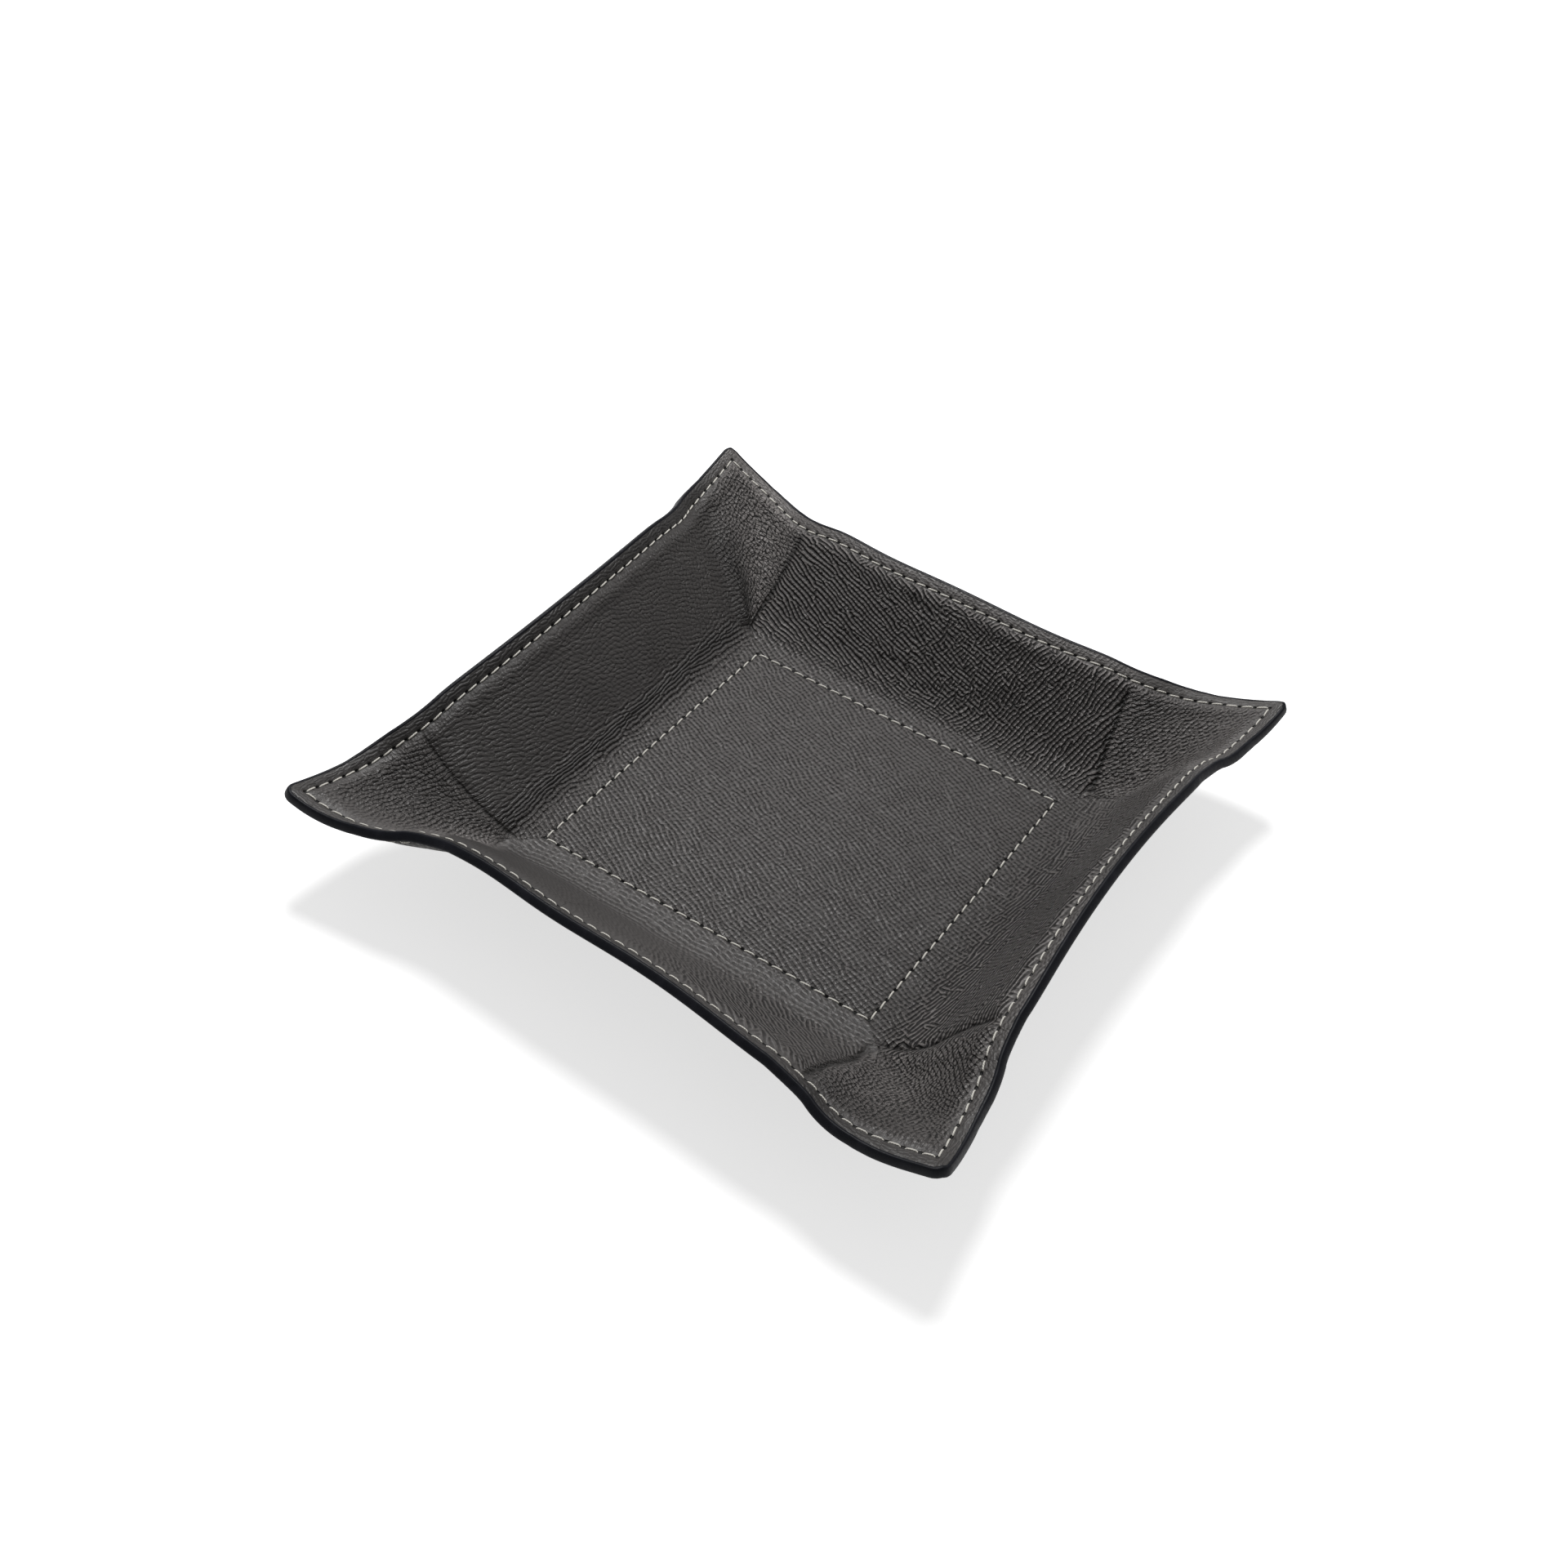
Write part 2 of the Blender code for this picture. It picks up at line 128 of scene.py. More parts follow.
# Relief of the faces, millimetres high, with half widths
face = {
    "bead": (0.25, 1.6),        # padding beside the rim seam
    "furrowWidth": 0.85,
    "rollOff": (0.36, 1.4),     # the lining toward its cut edge
    "outerRollOff": 0.22,
    "creaseWave": (0.25, 14),   # how far a crease wanders, and over what length
    "pit": (0.5, 0.45),         # half length and half width of a needle hole's dimple
    "puff": (0.07, 0.9, 1.2),   # leather that rises beside the seam, and how far off it
}

# Unevenness of the lining, millimetres high
wrinkle = {
    "folds": (0.10, 0.07, 0.26, 0.05),      # handling wrinkles along the fold of each side
    "walls": 0.16,
    "everywhere": 0.05,
    "seams": ((rimSeamHalf, 2.6, 0.10), (baseSeamHalf, 1.8, 0.05)),     # seam, reach inward and height
}

stitches = {
    "rimCount": 46,             # along each side
    "baseCount": 24,
    "pitch": 4.2 * mm,
    "threadRadius": 0.25 * mm,
    "flatness": 0.86,           # height of the thread's section against its width
    "thinning": 0.4,            # how much of its width a stitch loses at its ends
    "arch": 0.07 * mm,          # rise of a stitch at its middle
    "sink": 1.45 * mm,          # how far its ends go down into the holes
    "slant": 0.16 * mm,         # how far each end stands off the seam line
    "sway": 0.03 * mm,          # how unevenly it lies
    "gap": 0.06,                # share of the pitch left free at each end
    "furrow": 0.28 * mm,
    "hole": (0.70, 0.46),       # half length and half width of a needle hole, millimetres
    "holeDepth": 0.5 * mm,
    "pathSteps": 12,
    "sides": 8,
}


def ease(share):
    share = np.clip(share, 0, 1)
    return share * share * (3 - 2 * share)


# 1 at no distance, falling off over a width
def bell(distance, width, power=2):
    return np.exp(-np.abs(distance / width) ** power)


def unit(vectors):
    return vectors / np.linalg.norm(vectors, axis=-1, keepdims=True)


# Half width of the square of the pattern that a flat point lies on
def outOf(u, v):
    return np.maximum(np.abs(u), np.abs(v))


# Index of the wall that flat points lie toward, in the order of sideNames
def sideOf(u, v):
    return np.where(np.abs(u) >= np.abs(v), np.where(u > 0, 0, 2), np.where(v > 0, 1, 3))


# Numbers of the four sides, blended over the corners
def perSide(values, u, v):
    right, back, left, front = values
    toBackFront = ease((np.abs(v) - np.abs(u)) / cornerBlend + 0.5)
    return np.where(u > 0, right, left) * (1 - toBackFront) + np.where(v > 0, back, front) * toBackFront


# The bent surface, by the same formula as the CAD part

def slopeAfter(run, lean):
    return lean * ease(run / tray["foldWidth"]) + tray["wallCurl"] * run / tray["wallWidth"]


def fanDirection(turn, slope):
    share = tray["spoutShare"]
    sineRatio = np.clip(2 * math.sqrt(2) / math.pi * np.cos(slope) / share, 0.02, 0.9999)
    half = np.sqrt(6 * (1 - sineRatio))
    for _ in range(8):
        miss = np.sin(half) / half - sineRatio
        half = np.clip(half - miss * half ** 2 / (half * np.cos(half) - np.sin(half)), 0.001, 3.1)
    ring = np.clip(share * math.pi / 4 / half, 0, 1)
    hub = np.sqrt(1 - ring ** 2)
    lift = np.arctan2(ring * np.cos(half), hub)
    reach = np.hypot(hub, ring * np.cos(half))
    tilt = lift + np.arcsin(np.clip(np.sin(slope) / reach, -1, 1))
    place = (turn / (math.pi / 4) - 1) * half
    across = np.sin(place) * ring / math.sqrt(2)
    down = np.cos(place) * ring
    outward = (np.cos(tilt) * hub + np.sin(tilt) * down) / math.sqrt(2)
    upward = np.sin(tilt) * hub - np.cos(tilt) * down
    return np.stack(np.broadcast_arrays(outward - across, outward + across, upward), -1)


def bendQuadrant(u, v, steps=16):
    middles = (np.arange(steps) + 0.5) / steps
    place = np.stack([u, v, np.zeros_like(u)], -1)
    for outward, along, axis in ((u, v, 0), (v, u, 1)):
        wall = (outward > baseHalf) & (along <= baseHalf)
        run = outward[wall] - baseHalf
        nearness = np.clip(along[wall] / baseHalf, 0, 1) ** 2
        lean = tray["wallLean"] + (tray["creaseLean"] - tray["wallLean"]) * nearness
        slope = slopeAfter(run[:, None] * middles, lean[:, None])
        place[wall, axis] = baseHalf + np.cos(slope).mean(-1) * run
        place[wall, 2] = np.sin(slope).mean(-1) * run
    spout = (u > baseHalf) & (v > baseHalf)
    reach = np.hypot(u[spout] - baseHalf, v[spout] - baseHalf)
    turn = np.arctan2(v[spout] - baseHalf, u[spout] - baseHalf)
    slope = slopeAfter(reach[:, None] * middles, tray["creaseLean"])
    lines = fanDirection(turn[:, None], slope).mean(1) * reach[:, None]
    place[spout] = np.array([baseHalf, baseHalf, 0]) + lines
    return place


# Places of flat points. Near a crease they are a mean over its fan, so that it bends smoothly
def form(u, v):
    u, v = np.broadcast_arrays(np.asarray(u, float), np.asarray(v, float))
    du, dv = np.abs(u) - baseHalf, np.abs(v) - baseHalf
    reach, turn = np.hypot(du, dv), np.arctan2(dv, du)
    offCrease = np.minimum(np.abs(turn), np.abs(turn - math.pi / 2))
    spread = tray["creaseRound"] * tray["creaseFan"] * (1 - ease(offCrease / (2 * tray["creaseFan"])))
    near = (spread > 0) & ((du > 0) | (dv > 0))
    reach, turn, spread = reach[near], turn[near], spread[near]
    shares = np.linspace(-1, 1, tray["creaseSteps"])
    weights = 1 - shares ** 2 / 2
    rounded = 0
    for share, weight in zip(shares, weights / weights.sum()):
        angle = turn + spread * share
        spots = baseHalf + reach * np.cos(angle), baseHalf + reach * np.sin(angle)
        rounded = rounded + weight * bendQuadrant(*spots)
    place = bendQuadrant(np.abs(u), np.abs(v))
    place[near] = rounded
    place[..., 0] *= np.where(u < 0, -1, 1)
    place[..., 1] *= np.where(v < 0, -1, 1)
    place[..., 2] += floorHeight
    return place


def normalAt(u, v, reach=2 * mm):
    stepU = form(u + reach, v) - form(u - reach, v)
    stepV = form(u, v + reach) - form(u, v - reach)
    return unit(np.cross(stepU, stepV))


# How far points have moved from the even shape
def slouchAt(u, v):
    out = np.maximum(outOf(u, v), 1e-6)
    low = np.minimum(np.abs(u), np.abs(v)) / out
    rise = np.clip((out - baseHalf) / tray["wallWidth"], 0, 1.2)
    weightU, weightV = ease((u / out + 1) / 2), ease((v / out + 1) / 2)
    moved = np.zeros(np.shape(u) + (3,))
    for (signU, signV), offset in slouch["tips"].items():
        weight = rise * (weightU if signU > 0 else 1 - weightU) * (weightV if signV > 0 else 1 - weightV)
        moved += weight[..., None] * np.array(offset) * mm
    outward = np.array([(1, 0), (0, 1), (-1, 0), (0, -1)], float)
    side = sideOf(u, v)
    alongSide = np.where(side % 2 == 0, v, u) / out * rimSeamHalf / mm
    offsets = (1 - low ** 2)[..., None] * np.array(slouch["sides"])[side]
    for name, place, offset, reach in slouch["pulls"]:
        pull = (side == sideNames.index(name)) * (1 - low ** 4) * bell(alongSide - place, reach)
        offsets = offsets + pull[..., None] * np.array(offset)
    offsets = offsets * rise[..., None] * mm
    moved[..., :2] += outward[side] * offsets[..., :1]
    moved[..., 2] += offsets[..., 1]
    return moved


def roundTips(u, v):
    radius = tray["tipRadius"]
    core = edgeHalf - radius
    pastU, pastV = (np.abs(u) - core) / radius, (np.abs(v) - core) / radius
    tip = (pastU > 0) & (pastV > 0)
    reach = radius * np.maximum(pastU, pastV) / np.maximum(np.hypot(pastU, pastV), 0.001)
    newU, newV = np.sign(u) * (core + pastU * reach), np.sign(v) * (core + pastV * reach)
    return np.where(tip, newU, u), np.where(tip, newV, v)


# Places and normals of the formed inner face
def surface(u, v):
    u, v = roundTips(np.asarray(u, float), np.asarray(v, float))
    return form(u, v) + slouchAt(u, v), normalAt(u, v)


# Smooth noise from -1 to 1 with features about one unit apart, the same each run
def latticeNoise(x, y, seed):
    table = np.random.default_rng(seed).uniform(-1, 1, (256, 256))
    cellX, cellY = np.floor(x).astype(int), np.floor(y).astype(int)
    shareX, shareY = ease(x - cellX), ease(y - cellY)

    def corner(stepX, stepY):
        return table[(cellX + stepX) % 256, (cellY + stepY) % 256]

    lower = corner(0, 0) * (1 - shareX) + corner(1, 0) * shareX
    upper = corner(0, 1) * (1 - shareX) + corner(1, 1) * shareX
    return lower * (1 - shareY) + upper * shareY


# Lines of the flat pattern. The base seam's needle holes are on the lines of the rim seam's

basePart = stitches["baseCount"] // 2
rimPart = stitches["rimCount"] // 2 - basePart
holeStops = np.concatenate([np.linspace(0, baseSeamHalf, basePart + 1),
                            np.linspace(baseSeamHalf, rimSeamHalf, rimPart + 1)[1:]])

lineShares = {
    "plain": (0, 0.12, 0.31, 0.50, 0.69, 0.88),             # of a stitch
    "fold": (0, 0.13, 0.26, 0.4, 0.54, 0.68, 0.84),
    "margin": (0, 0.14, 0.34, 0.58, 0.78, 0.9, 1),          # of the way from rim seam to cut edge
}


# Grid lines over the whole leather, closer together at the holes, the folds and the rim
def fineLines():
    half = []
    for start, end in zip(holeStops[:-1], holeStops[1:]):
        nearFold = start < baseHalf + 2 * mm and end > baseHalf - 2 * mm
        half += [start + share * (end - start) for share in lineShares["fold" if nearFold else "plain"]]
    half += [rimSeamHalf + share * (edgeHalf - rimSeamHalf) for share in lineShares["margin"]]
    return np.array([-line for line in half[:0:-1]] + half)


# A flat coordinate, in millimetres, stretched so that every stitch is one pitch long
def unrolled(line):
    even = np.arange(len(holeStops)) * stitches["pitch"]
    past = np.maximum(np.abs(line) - rimSeamHalf, 0)
    return np.sign(line) * (np.interp(np.abs(line), holeStops, even) + past) / mm


lines = fineLines()
keep = np.unique(np.append(np.arange(0, len(lines), 4), len(lines) - 1))    # the lines of hidden faces
gridU, gridV = np.meshgrid(lines, lines, indexing="ij")
flatU, flatV = roundTips(gridU, gridV)
gridPlaces, gridNormals = surface(gridU, gridV)
print("surface formed:", gridU.shape)


# Relief of the faces, metres, measured from the formed inner face along its normal

# Distance past the start of a crease, signed distance to its right and its strength there
def alongCrease(u, v, start, end, bow):
    start, end = np.array(start) * mm, np.array(end) * mm
    length = np.linalg.norm(end - start)
    toU, toV = (end - start) / length
    along = (u - start[0]) * toU + (v - start[1]) * toV
    across = (u - start[0]) * toV - (v - start[1]) * toU
    share = np.clip(along / length, 0, 1)
    across = across - bow * mm * 4 * share * (1 - share)
    wander, wave = face["creaseWave"]
    across = across - wander * mm * latticeNoise(along / (wave * mm), 0 * across + start[0] * 1000, 5)
    fades = ease((along + 2 * mm) / (5 * mm)) * (1 - ease((along - length + 4.5 * mm) / (5 * mm)))
    return along, across, fades


# Depth of the creases and, below zero, the height of the swelling
def creaseGroove(u, v):
    groove = np.zeros(np.shape(u))
    for start, end, bow, depth, halfWidth, _, _ in backFrontCreases + leftRightCreases:
        along, across, fades = alongCrease(u, v, start, end, bow)
        width = halfWidth * mm * (0.75 + 0.5 * ease(along / (30 * mm)))
        groove = groove + depth * mm * bell(across, width, 1.5) * fades
    stepU, stepV = u / mm - swelling["middle"][0], v / mm - swelling["middle"][1]
    cosine, sine = math.cos(swelling["direction"]), math.sin(swelling["direction"])
    swell = bell(stepU * cosine + stepV * sine, swelling["length"], 4)
    swell = swell * bell(stepV * cosine - stepU * sine, swelling["width"])
    return groove - swelling["height"] * mm * swell


# How far the real bend at the foot of the walls stands off the even one
def footLift(u, v):
    start, width = [perSide(values, u, v) for values in zip(*feet)]
    du, dv = (np.abs(u) - baseHalf) / mm, (np.abs(v) - baseHalf) / mm
    run = np.where((du > 0) & (dv > 0), np.hypot(du, dv), np.maximum(du, dv))

    def rise(begin, span):
        share = np.clip((run - begin) / span, 0, 1)
        return span * (share ** 3 - share ** 4 / 2) + np.maximum(run - begin - span, 0)

    foldWidth = tray["foldWidth"] / mm
    later = foldWidth / 2 - start - width / 2
    lean = (tray["wallLean"] + tray["creaseLean"]) / 2
    return lean * (rise(start, width) - rise(0, foldWidth) - later * np.clip((run - 3) / 34, 0, 1)) * mm


# 1 along the seams
def furrows(out):
    return sum(bell(out - half, face["furrowWidth"] * mm) for half in seams)


# The lining's face without its holes and wrinkles
def smoothRelief(u, v):
    out = outOf(u, v)
    relief = -tray["rimDrop"] * ease((out - wallBoardTop) / tray["boardToRimSeam"])
    height, width = face["bead"]
    relief = relief + height * mm * bell(out - wallBoardTop + 0.6 * mm, width * mm)
    relief = relief - stitches["furrow"] * furrows(out)
    height, width = face["rollOff"]
    relief = relief - height * mm * (1 - ease((edgeHalf - out) / mm / width))
    pastSeam = np.maximum((out - rimSeamHalf) / mm + 0.6, 0)
    relief = relief - perSide(flare, u, v) * mm * pastSeam ** 2 / (pastSeam + 1.0)
    return relief - creaseGroove(u, v) + footLift(u, v)


# Handling wrinkles along the folds, puckers at the seams and a faint unevenness
def wrinkles(u, v):
    out, side = outOf(u, v), sideOf(u, v)
    run = out - baseHalf
    isU = side % 2 == 0
    across, along = np.where(isU, u, v) / mm, np.where(isU, v, u) / mm
    bend = 2.5 * latticeNoise(along / 14, across / 14, 11)
    total = np.array(wrinkle["folds"])[side] * bell(run - 3.5 * mm, 5 * mm)
    total *= latticeNoise((across + bend) / 1.7, along / 13 + side * 7, 12)
    body = ease((run - 2 * mm) / (8 * mm)) * (1 - ease((out - wallBoardTop) / (2 * mm)))
    total += wrinkle["walls"] * body * latticeNoise(u / (11 * mm) + 3, v / (9 * mm), 13)
    total += wrinkle["everywhere"] * latticeNoise(u / (6 * mm), v / (6 * mm) + 9, 14)
    for half, reach, height in wrinkle["seams"]:
        inside = bell((out - half) / mm + 1.3, reach)
        total += height * inside * latticeNoise(along / 1.25, across / 5, 15)
    return total * mm


# Dimples that the stitches pull into the leather, and the puffs between them
def holePits(u, v):
    pits = 0
    length, width = face["pit"]
    puffHeight, puffWidth, puffOff = face["puff"]
    along = unrolled(np.where(np.abs(u) >= np.abs(v), v, u)) / (stitches["pitch"] / mm)
    fromHole = np.abs(along - np.round(along)) * stitches["pitch"] / mm
    for half in seams:
        across = (outOf(u, v) - half) / mm
        pits = pits - stitches["holeDepth"] * bell(fromHole, length) * bell(across, width)
        pits = pits + puffHeight * mm * bell(np.abs(across) - puffOff, puffWidth) * ease(fromHole / 1.9)
    return pits


# 1 where a board or stay lies between the leathers, easing to 0 just outside it
def overBoard(u, v, soft=1.6 * mm):
    u, v = np.abs(u), np.abs(v)

    def inside(value, start, end):
        return ease((value - start + soft) / soft) * ease((end + soft - value) / soft)

    base = inside(u, -1, boardEdge) * inside(v, -1, boardEdge)
    riseU, riseV = inside(u, wallBoardFoot, wallBoardTop), inside(v, wallBoardFoot, wallBoardTop)
    walls = np.maximum(riseU * inside(v, -1, wallBoardHalf), riseV * inside(u, -1, wallBoardHalf))
    stays = inside(u, stayStart, wallBoardTop) * inside(v, stayStart, wallBoardTop)
    return np.maximum(np.maximum(base, walls), stays)


# The outside face of the outer leather
def outerRelief(u, v):
    out = outOf(u, v)
    gap = tray["clearance"] + (boardGap - tray["clearance"]) * overBoard(u, v)
    relief = smoothRelief(u, v) - 2 * tray["leather"] - gap
    relief = relief + face["outerRollOff"] * mm * (1 - ease((edgeHalf - out) / mm / face["rollOff"][1]))
    return relief + 0.5 * stitches["furrow"] * furrows(out)


# Mesh building

def putIn(name, data):
    thing = bpy.data.objects.new(name, data)
    bpy.context.scene.collection.objects.link(thing)
    return thing


def addPiece(name, vertices, faces, finish, replaced, smoothAngle=55):
    mesh = bpy.data.meshes.new(name)
    mesh.from_pydata(vertices.reshape(-1, 3).tolist(), [], faces)
    mesh.validate()
    mesh.shade_smooth()
    mesh.set_sharp_from_angle(angle=smoothAngle * deg)
    mesh.materials.append(finish)
    piece = putIn(name, mesh)
    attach(piece, "root")
    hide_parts(*replaced)
    return piece


# A number on each vertex that the material reads
def addField(piece, name, values):
    numbers = piece.data.attributes.new(name, "FLOAT", "POINT")
    numbers.data.foreach_set("value", np.ascontiguousarray(values, np.float32).ravel())


def cornerVertices(piece):
    corners = np.zeros(len(piece.data.loops), np.int32)
    piece.data.loops.foreach_get("vertex_index", corners)
    return corners


def addLayer(piece, name, spots):
    piece.data.uv_layers.new(name=name).data.foreach_set("uv", spots.astype(np.float32).ravel())


# A map of two coordinates, the same for every face at a vertex
def addMap(piece, name, pairs):
    addLayer(piece, name, pairs[cornerVertices(piece)])


# Lays the fine face, the hidden face and the border of a sheet out side by side, for baking
def addBakeMap(piece, flat, groups):
    corners = cornerVertices(piece)
    spots = flat[corners] / (2 * edgeHalf) + 0.5
    group = np.repeat(np.arange(3), groups)[:, None].repeat(3, 1).ravel()
    spots[group == 0] = 0.006 + 0.935 * spots[group == 0]
    spots[group == 1] = (0.952, 0.006) + 0.040 * spots[group == 1]
    ring = flat[corners][group == 2]
    around = (np.arctan2(ring[:, 1], ring[:, 0]) / (2 * math.pi) + 0.5).reshape(-1, 3)
    around = around + (around.max(1, keepdims=True) - around > 0.5)
    hidden = (corners[group == 2] >= len(lines) ** 2).reshape(-1, 3)
    spots[group == 2] = np.stack([0.006 + 0.96 * around.ravel(), 0.955 + 0.02 * hidden.ravel()], -1)
    addLayer(piece, "OFBake", spots)


# Triangles of a grid of vertex numbers. Their diagonals point at the corners of the tray
def cellFaces(index, flipped, lineU, lineV):
    a, b = index[:-1, :-1].ravel(), index[1:, :-1].ravel()
    c, d = index[1:, 1:].ravel(), index[:-1, 1:].ravel()
    outward = np.outer(lineU[:-1] + lineU[1:], lineV[:-1] + lineV[1:]).ravel() > 0
    first = np.where(outward[:, None], np.stack([a, b, c], -1), np.stack([a, b, d], -1))
    second = np.where(outward[:, None], np.stack([a, c, d], -1), np.stack([b, c, d], -1))
    faces = np.concatenate([first, second])
    return faces[:, ::-1] if flipped else faces


# What stands along the border of a grid, anticlockwise
def borderOf(index):
    return np.concatenate([index[:, 0], index[-1, 1:], index[-2::-1, -1], index[0, -2:0:-1]])


# Vertices and triangles of a sheet whose seen face is fine and whose hidden face is coarse
def closedSheet(fineFace, hiddenFace, fineIsTop):
    fine = np.arange(len(lines) ** 2).reshape(len(lines), -1)
    coarse = fine.size + np.arange(len(keep) ** 2).reshape(len(keep), -1)
    faces = [cellFaces(fine, not fineIsTop, lines, lines),
             cellFaces(coarse, fineIsTop, lines[keep], lines[keep])]
    ring, hiddenRing = borderOf(fine), borderOf(coarse)
    anchors = np.flatnonzero(np.isin(ring, fine[np.ix_(keep, keep)]))
    span = np.diff(np.append(anchors, len(ring)))
    segment = np.repeat(np.arange(len(anchors)), span)
    pastMiddle = np.arange(len(ring)) - anchors[segment] >= span[segment] / 2
    nearest = hiddenRing[(segment + pastMiddle) % len(anchors)]
    middles = ring[(anchors + (span + 1) // 2) % len(ring)]
    bridge = np.concatenate([np.stack([ring, nearest, np.roll(ring, -1)], -1),
                             np.stack([middles, hiddenRing, np.roll(hiddenRing, -1)], -1)])
    faces.append(bridge if fineIsTop else bridge[:, ::-1])
    places = np.concatenate([fineFace.reshape(-1, 3), hiddenFace[np.ix_(keep, keep)].reshape(-1, 3)])
    return places, np.concatenate(faces), [len(part) for part in faces]


# Values of the grid as the vertices of a sheet have them
def onSheet(*values):
    values = np.stack(values, -1)
    parts = values, values[np.ix_(keep, keep)]
    return np.concatenate([part.reshape(-1, values.shape[-1]) for part in parts])


# A value on its way through a material. Sums and products with it make math nodes
class Flow:
    def __init__(self, tree, socket):
        self.tree = tree
        self.socket = socket

    def math(self, operation, *values):
        wires = {0: self, **dict(enumerate(values, 1))}
        return node(self.tree, "ShaderNodeMath", wires, operation=operation)

    __add__ = partialmethod(math, "ADD")
    __sub__ = partialmethod(math, "SUBTRACT")
    __mul__ = partialmethod(math, "MULTIPLY")
    __truediv__ = partialmethod(math, "DIVIDE")


# Sets sockets of a node, from other nodes or to plain values
def plug(tree, target, wires):
    for socket, value in wires.items():
        if isinstance(value, Flow):
            tree.links.new(value.socket, target.inputs[socket])
        else:
            target.inputs[socket].default_value = value


def node(tree, kind, wires=None, out=0, **settings):
    made = tree.nodes.new(kind)
    for name, value in settings.items():
        setattr(made, name, value)
    plug(tree, made, wires or {})
    return Flow(tree, made.outputs[out])


def fade(value, start, end, low=0.0, high=1.0):
    wires = {"Value": value, "From Min": start, "From Max": end, "To Min": low, "To Max": high}
    return node(value.tree, "ShaderNodeMapRange", wires, interpolation_type="SMOOTHSTEP")


def mixColour(share, low, high):
    low, high = [value if isinstance(value, Flow) else (*value, 1) for value in (low, high)]
    wires = {0: share, 6: low, 7: high}
    return node(share.tree, "ShaderNodeMix", wires, 2, data_type="RGBA", clamp_factor=False)


# Noise around 0.5, over the flat leather or in space
def noise(place, scale, detail=2.0, out=0, kind="2D", **more):
    wires = {"Vector": place, "Scale": scale, "Detail": detail, **more}
    return node(place.tree, "ShaderNodeTexNoise", wires, out, noise_dimensions=kind)


def split(vector):
    made = node(vector.tree, "ShaderNodeSeparateXYZ", {0: vector}).socket.node
    return [Flow(vector.tree, socket) for socket in made.outputs]


def mapOf(tree, name):
    return node(tree, "ShaderNodeUVMap", uv_map=name)


def field(tree, name):
    return node(tree, "ShaderNodeAttribute", out="Fac", attribute_name=name, attribute_type="GEOMETRY")


# Ridges over the flat leather, from 0 to 1. Their direction is given a quarter turn on. A bundle holds a
# number of waves, and combed runs from 0, tangled, to 1, straight
def ridges(flat, direction, pitch, waves, combed, flank=0.7):
    wires = {0: flat, 1: 1 / (pitch * waves), 2: waves, 3: combed, 4: direction}
    phase = node(flat.tree, "ShaderNodeTexGabor", wires, "Phase", gabor_type="2D")
    return fade((phase * (2 * math.pi)).math("SINE"), -0.95, flank)


def newFinish(name):
    finish = bpy.data.materials.new(name)
    finish.use_nodes = True
    return finish, finish.node_tree


def dress(finish, colour, rough, specular, height, distance=mm, strength=1.0):
    tree = finish.node_tree
    bump = node(tree, "ShaderNodeBump", {"Height": height, "Distance": distance, "Strength": strength})
    plug(tree, tree.nodes["Principled BSDF"],
         {"Base Color": colour, "Roughness": rough, "Specular IOR Level": specular, "Normal": bump})
    return finish


# Lining leather, embossed with two families of ridges that cross

liningLook = {
    # The lining's colour runs from dark to light; the grain's hollows take painted shade toward dark and
    # its crests painted light toward light
    "dark": (0.016, 0.0150, 0.0146),
    "light": (0.118, 0.1096, 0.1062),
    # Painted shade in the creases
    "paintedCreaseShade": (0.008, 0.0075, 0.007),
    # Painted shade in the needle holes
    "hole": (0.004, 0.004, 0.004),
    "mainPitch": 1.45,          # millimetres
    "crossPitch": 1.4,
    "linePitch": 1.5,
    "puckerPitch": 1.05,
    "depths": {"mainGrain": 0.32, "crossGrain": 0.34, "crackle": 0.24, "lines": 0.34, "puckers": 0.20},
    "poreDepth": 0.035,
    "pinchDepth": 0.5,
    "holeDepth": 0.35,
    "roughness": (0.42, 0.62),
    "specular": 0.36,
}

# Grain of each part of the leather: strength and direction of the main ridges, then of those across them,
# painted light and shade, that is how much lighter or darker that part is drawn, and how crackled. A row
# starts with the place along the wall, in millimetres, or in a corner with the turn from its right or left
# wall to its back or front one, in degrees
grainOfBase = (0.90, -24, 0.44, 66, -0.035, 0.44)
grainOfWalls = {
    "right": [(-50, 2.40, -20, 3.40, 70, 0.34, 0.3), (0, 1.80, -18, 2.80, 75, 0.09, 0.3),
              (45, 0.60, -25, 0.70, 85, -0.02, 0.1)],
    "back": [(-50, 4.00, -26, 2.20, 62, 0.30, 0.4), (-15, 3.80, -22, 2.60, 66, 0.27, 0.4),
             (8, 3.40, -20, 3.20, 68, 0.27, 0.4), (28, 2.60, -18, 4.00, 70, 0.30, 0.4),
             (52, 2.00, -18, 4.40, 71, 0.36, 0.4)],
    "left": [(-50, 0.20, 50, 0.32, 78, -0.22, 0.2), (0, 0.20, 40, 0.22, 85, -0.14, 0.2),
             (50, 0.25, -25, 0.25, 58, -0.20, 0.4)],
    "front": [(-50, 0.08, -50, 0.08, 60, -0.22, 0.0), (0, 0.20, -58, 0.10, 60, -0.03, 0.0),
              (32, 1.30, -42, 0.50, 55, 0.02, 0.1), (52, 0.70, -42, 0.40, 55, 0.02, 0.1)],
}
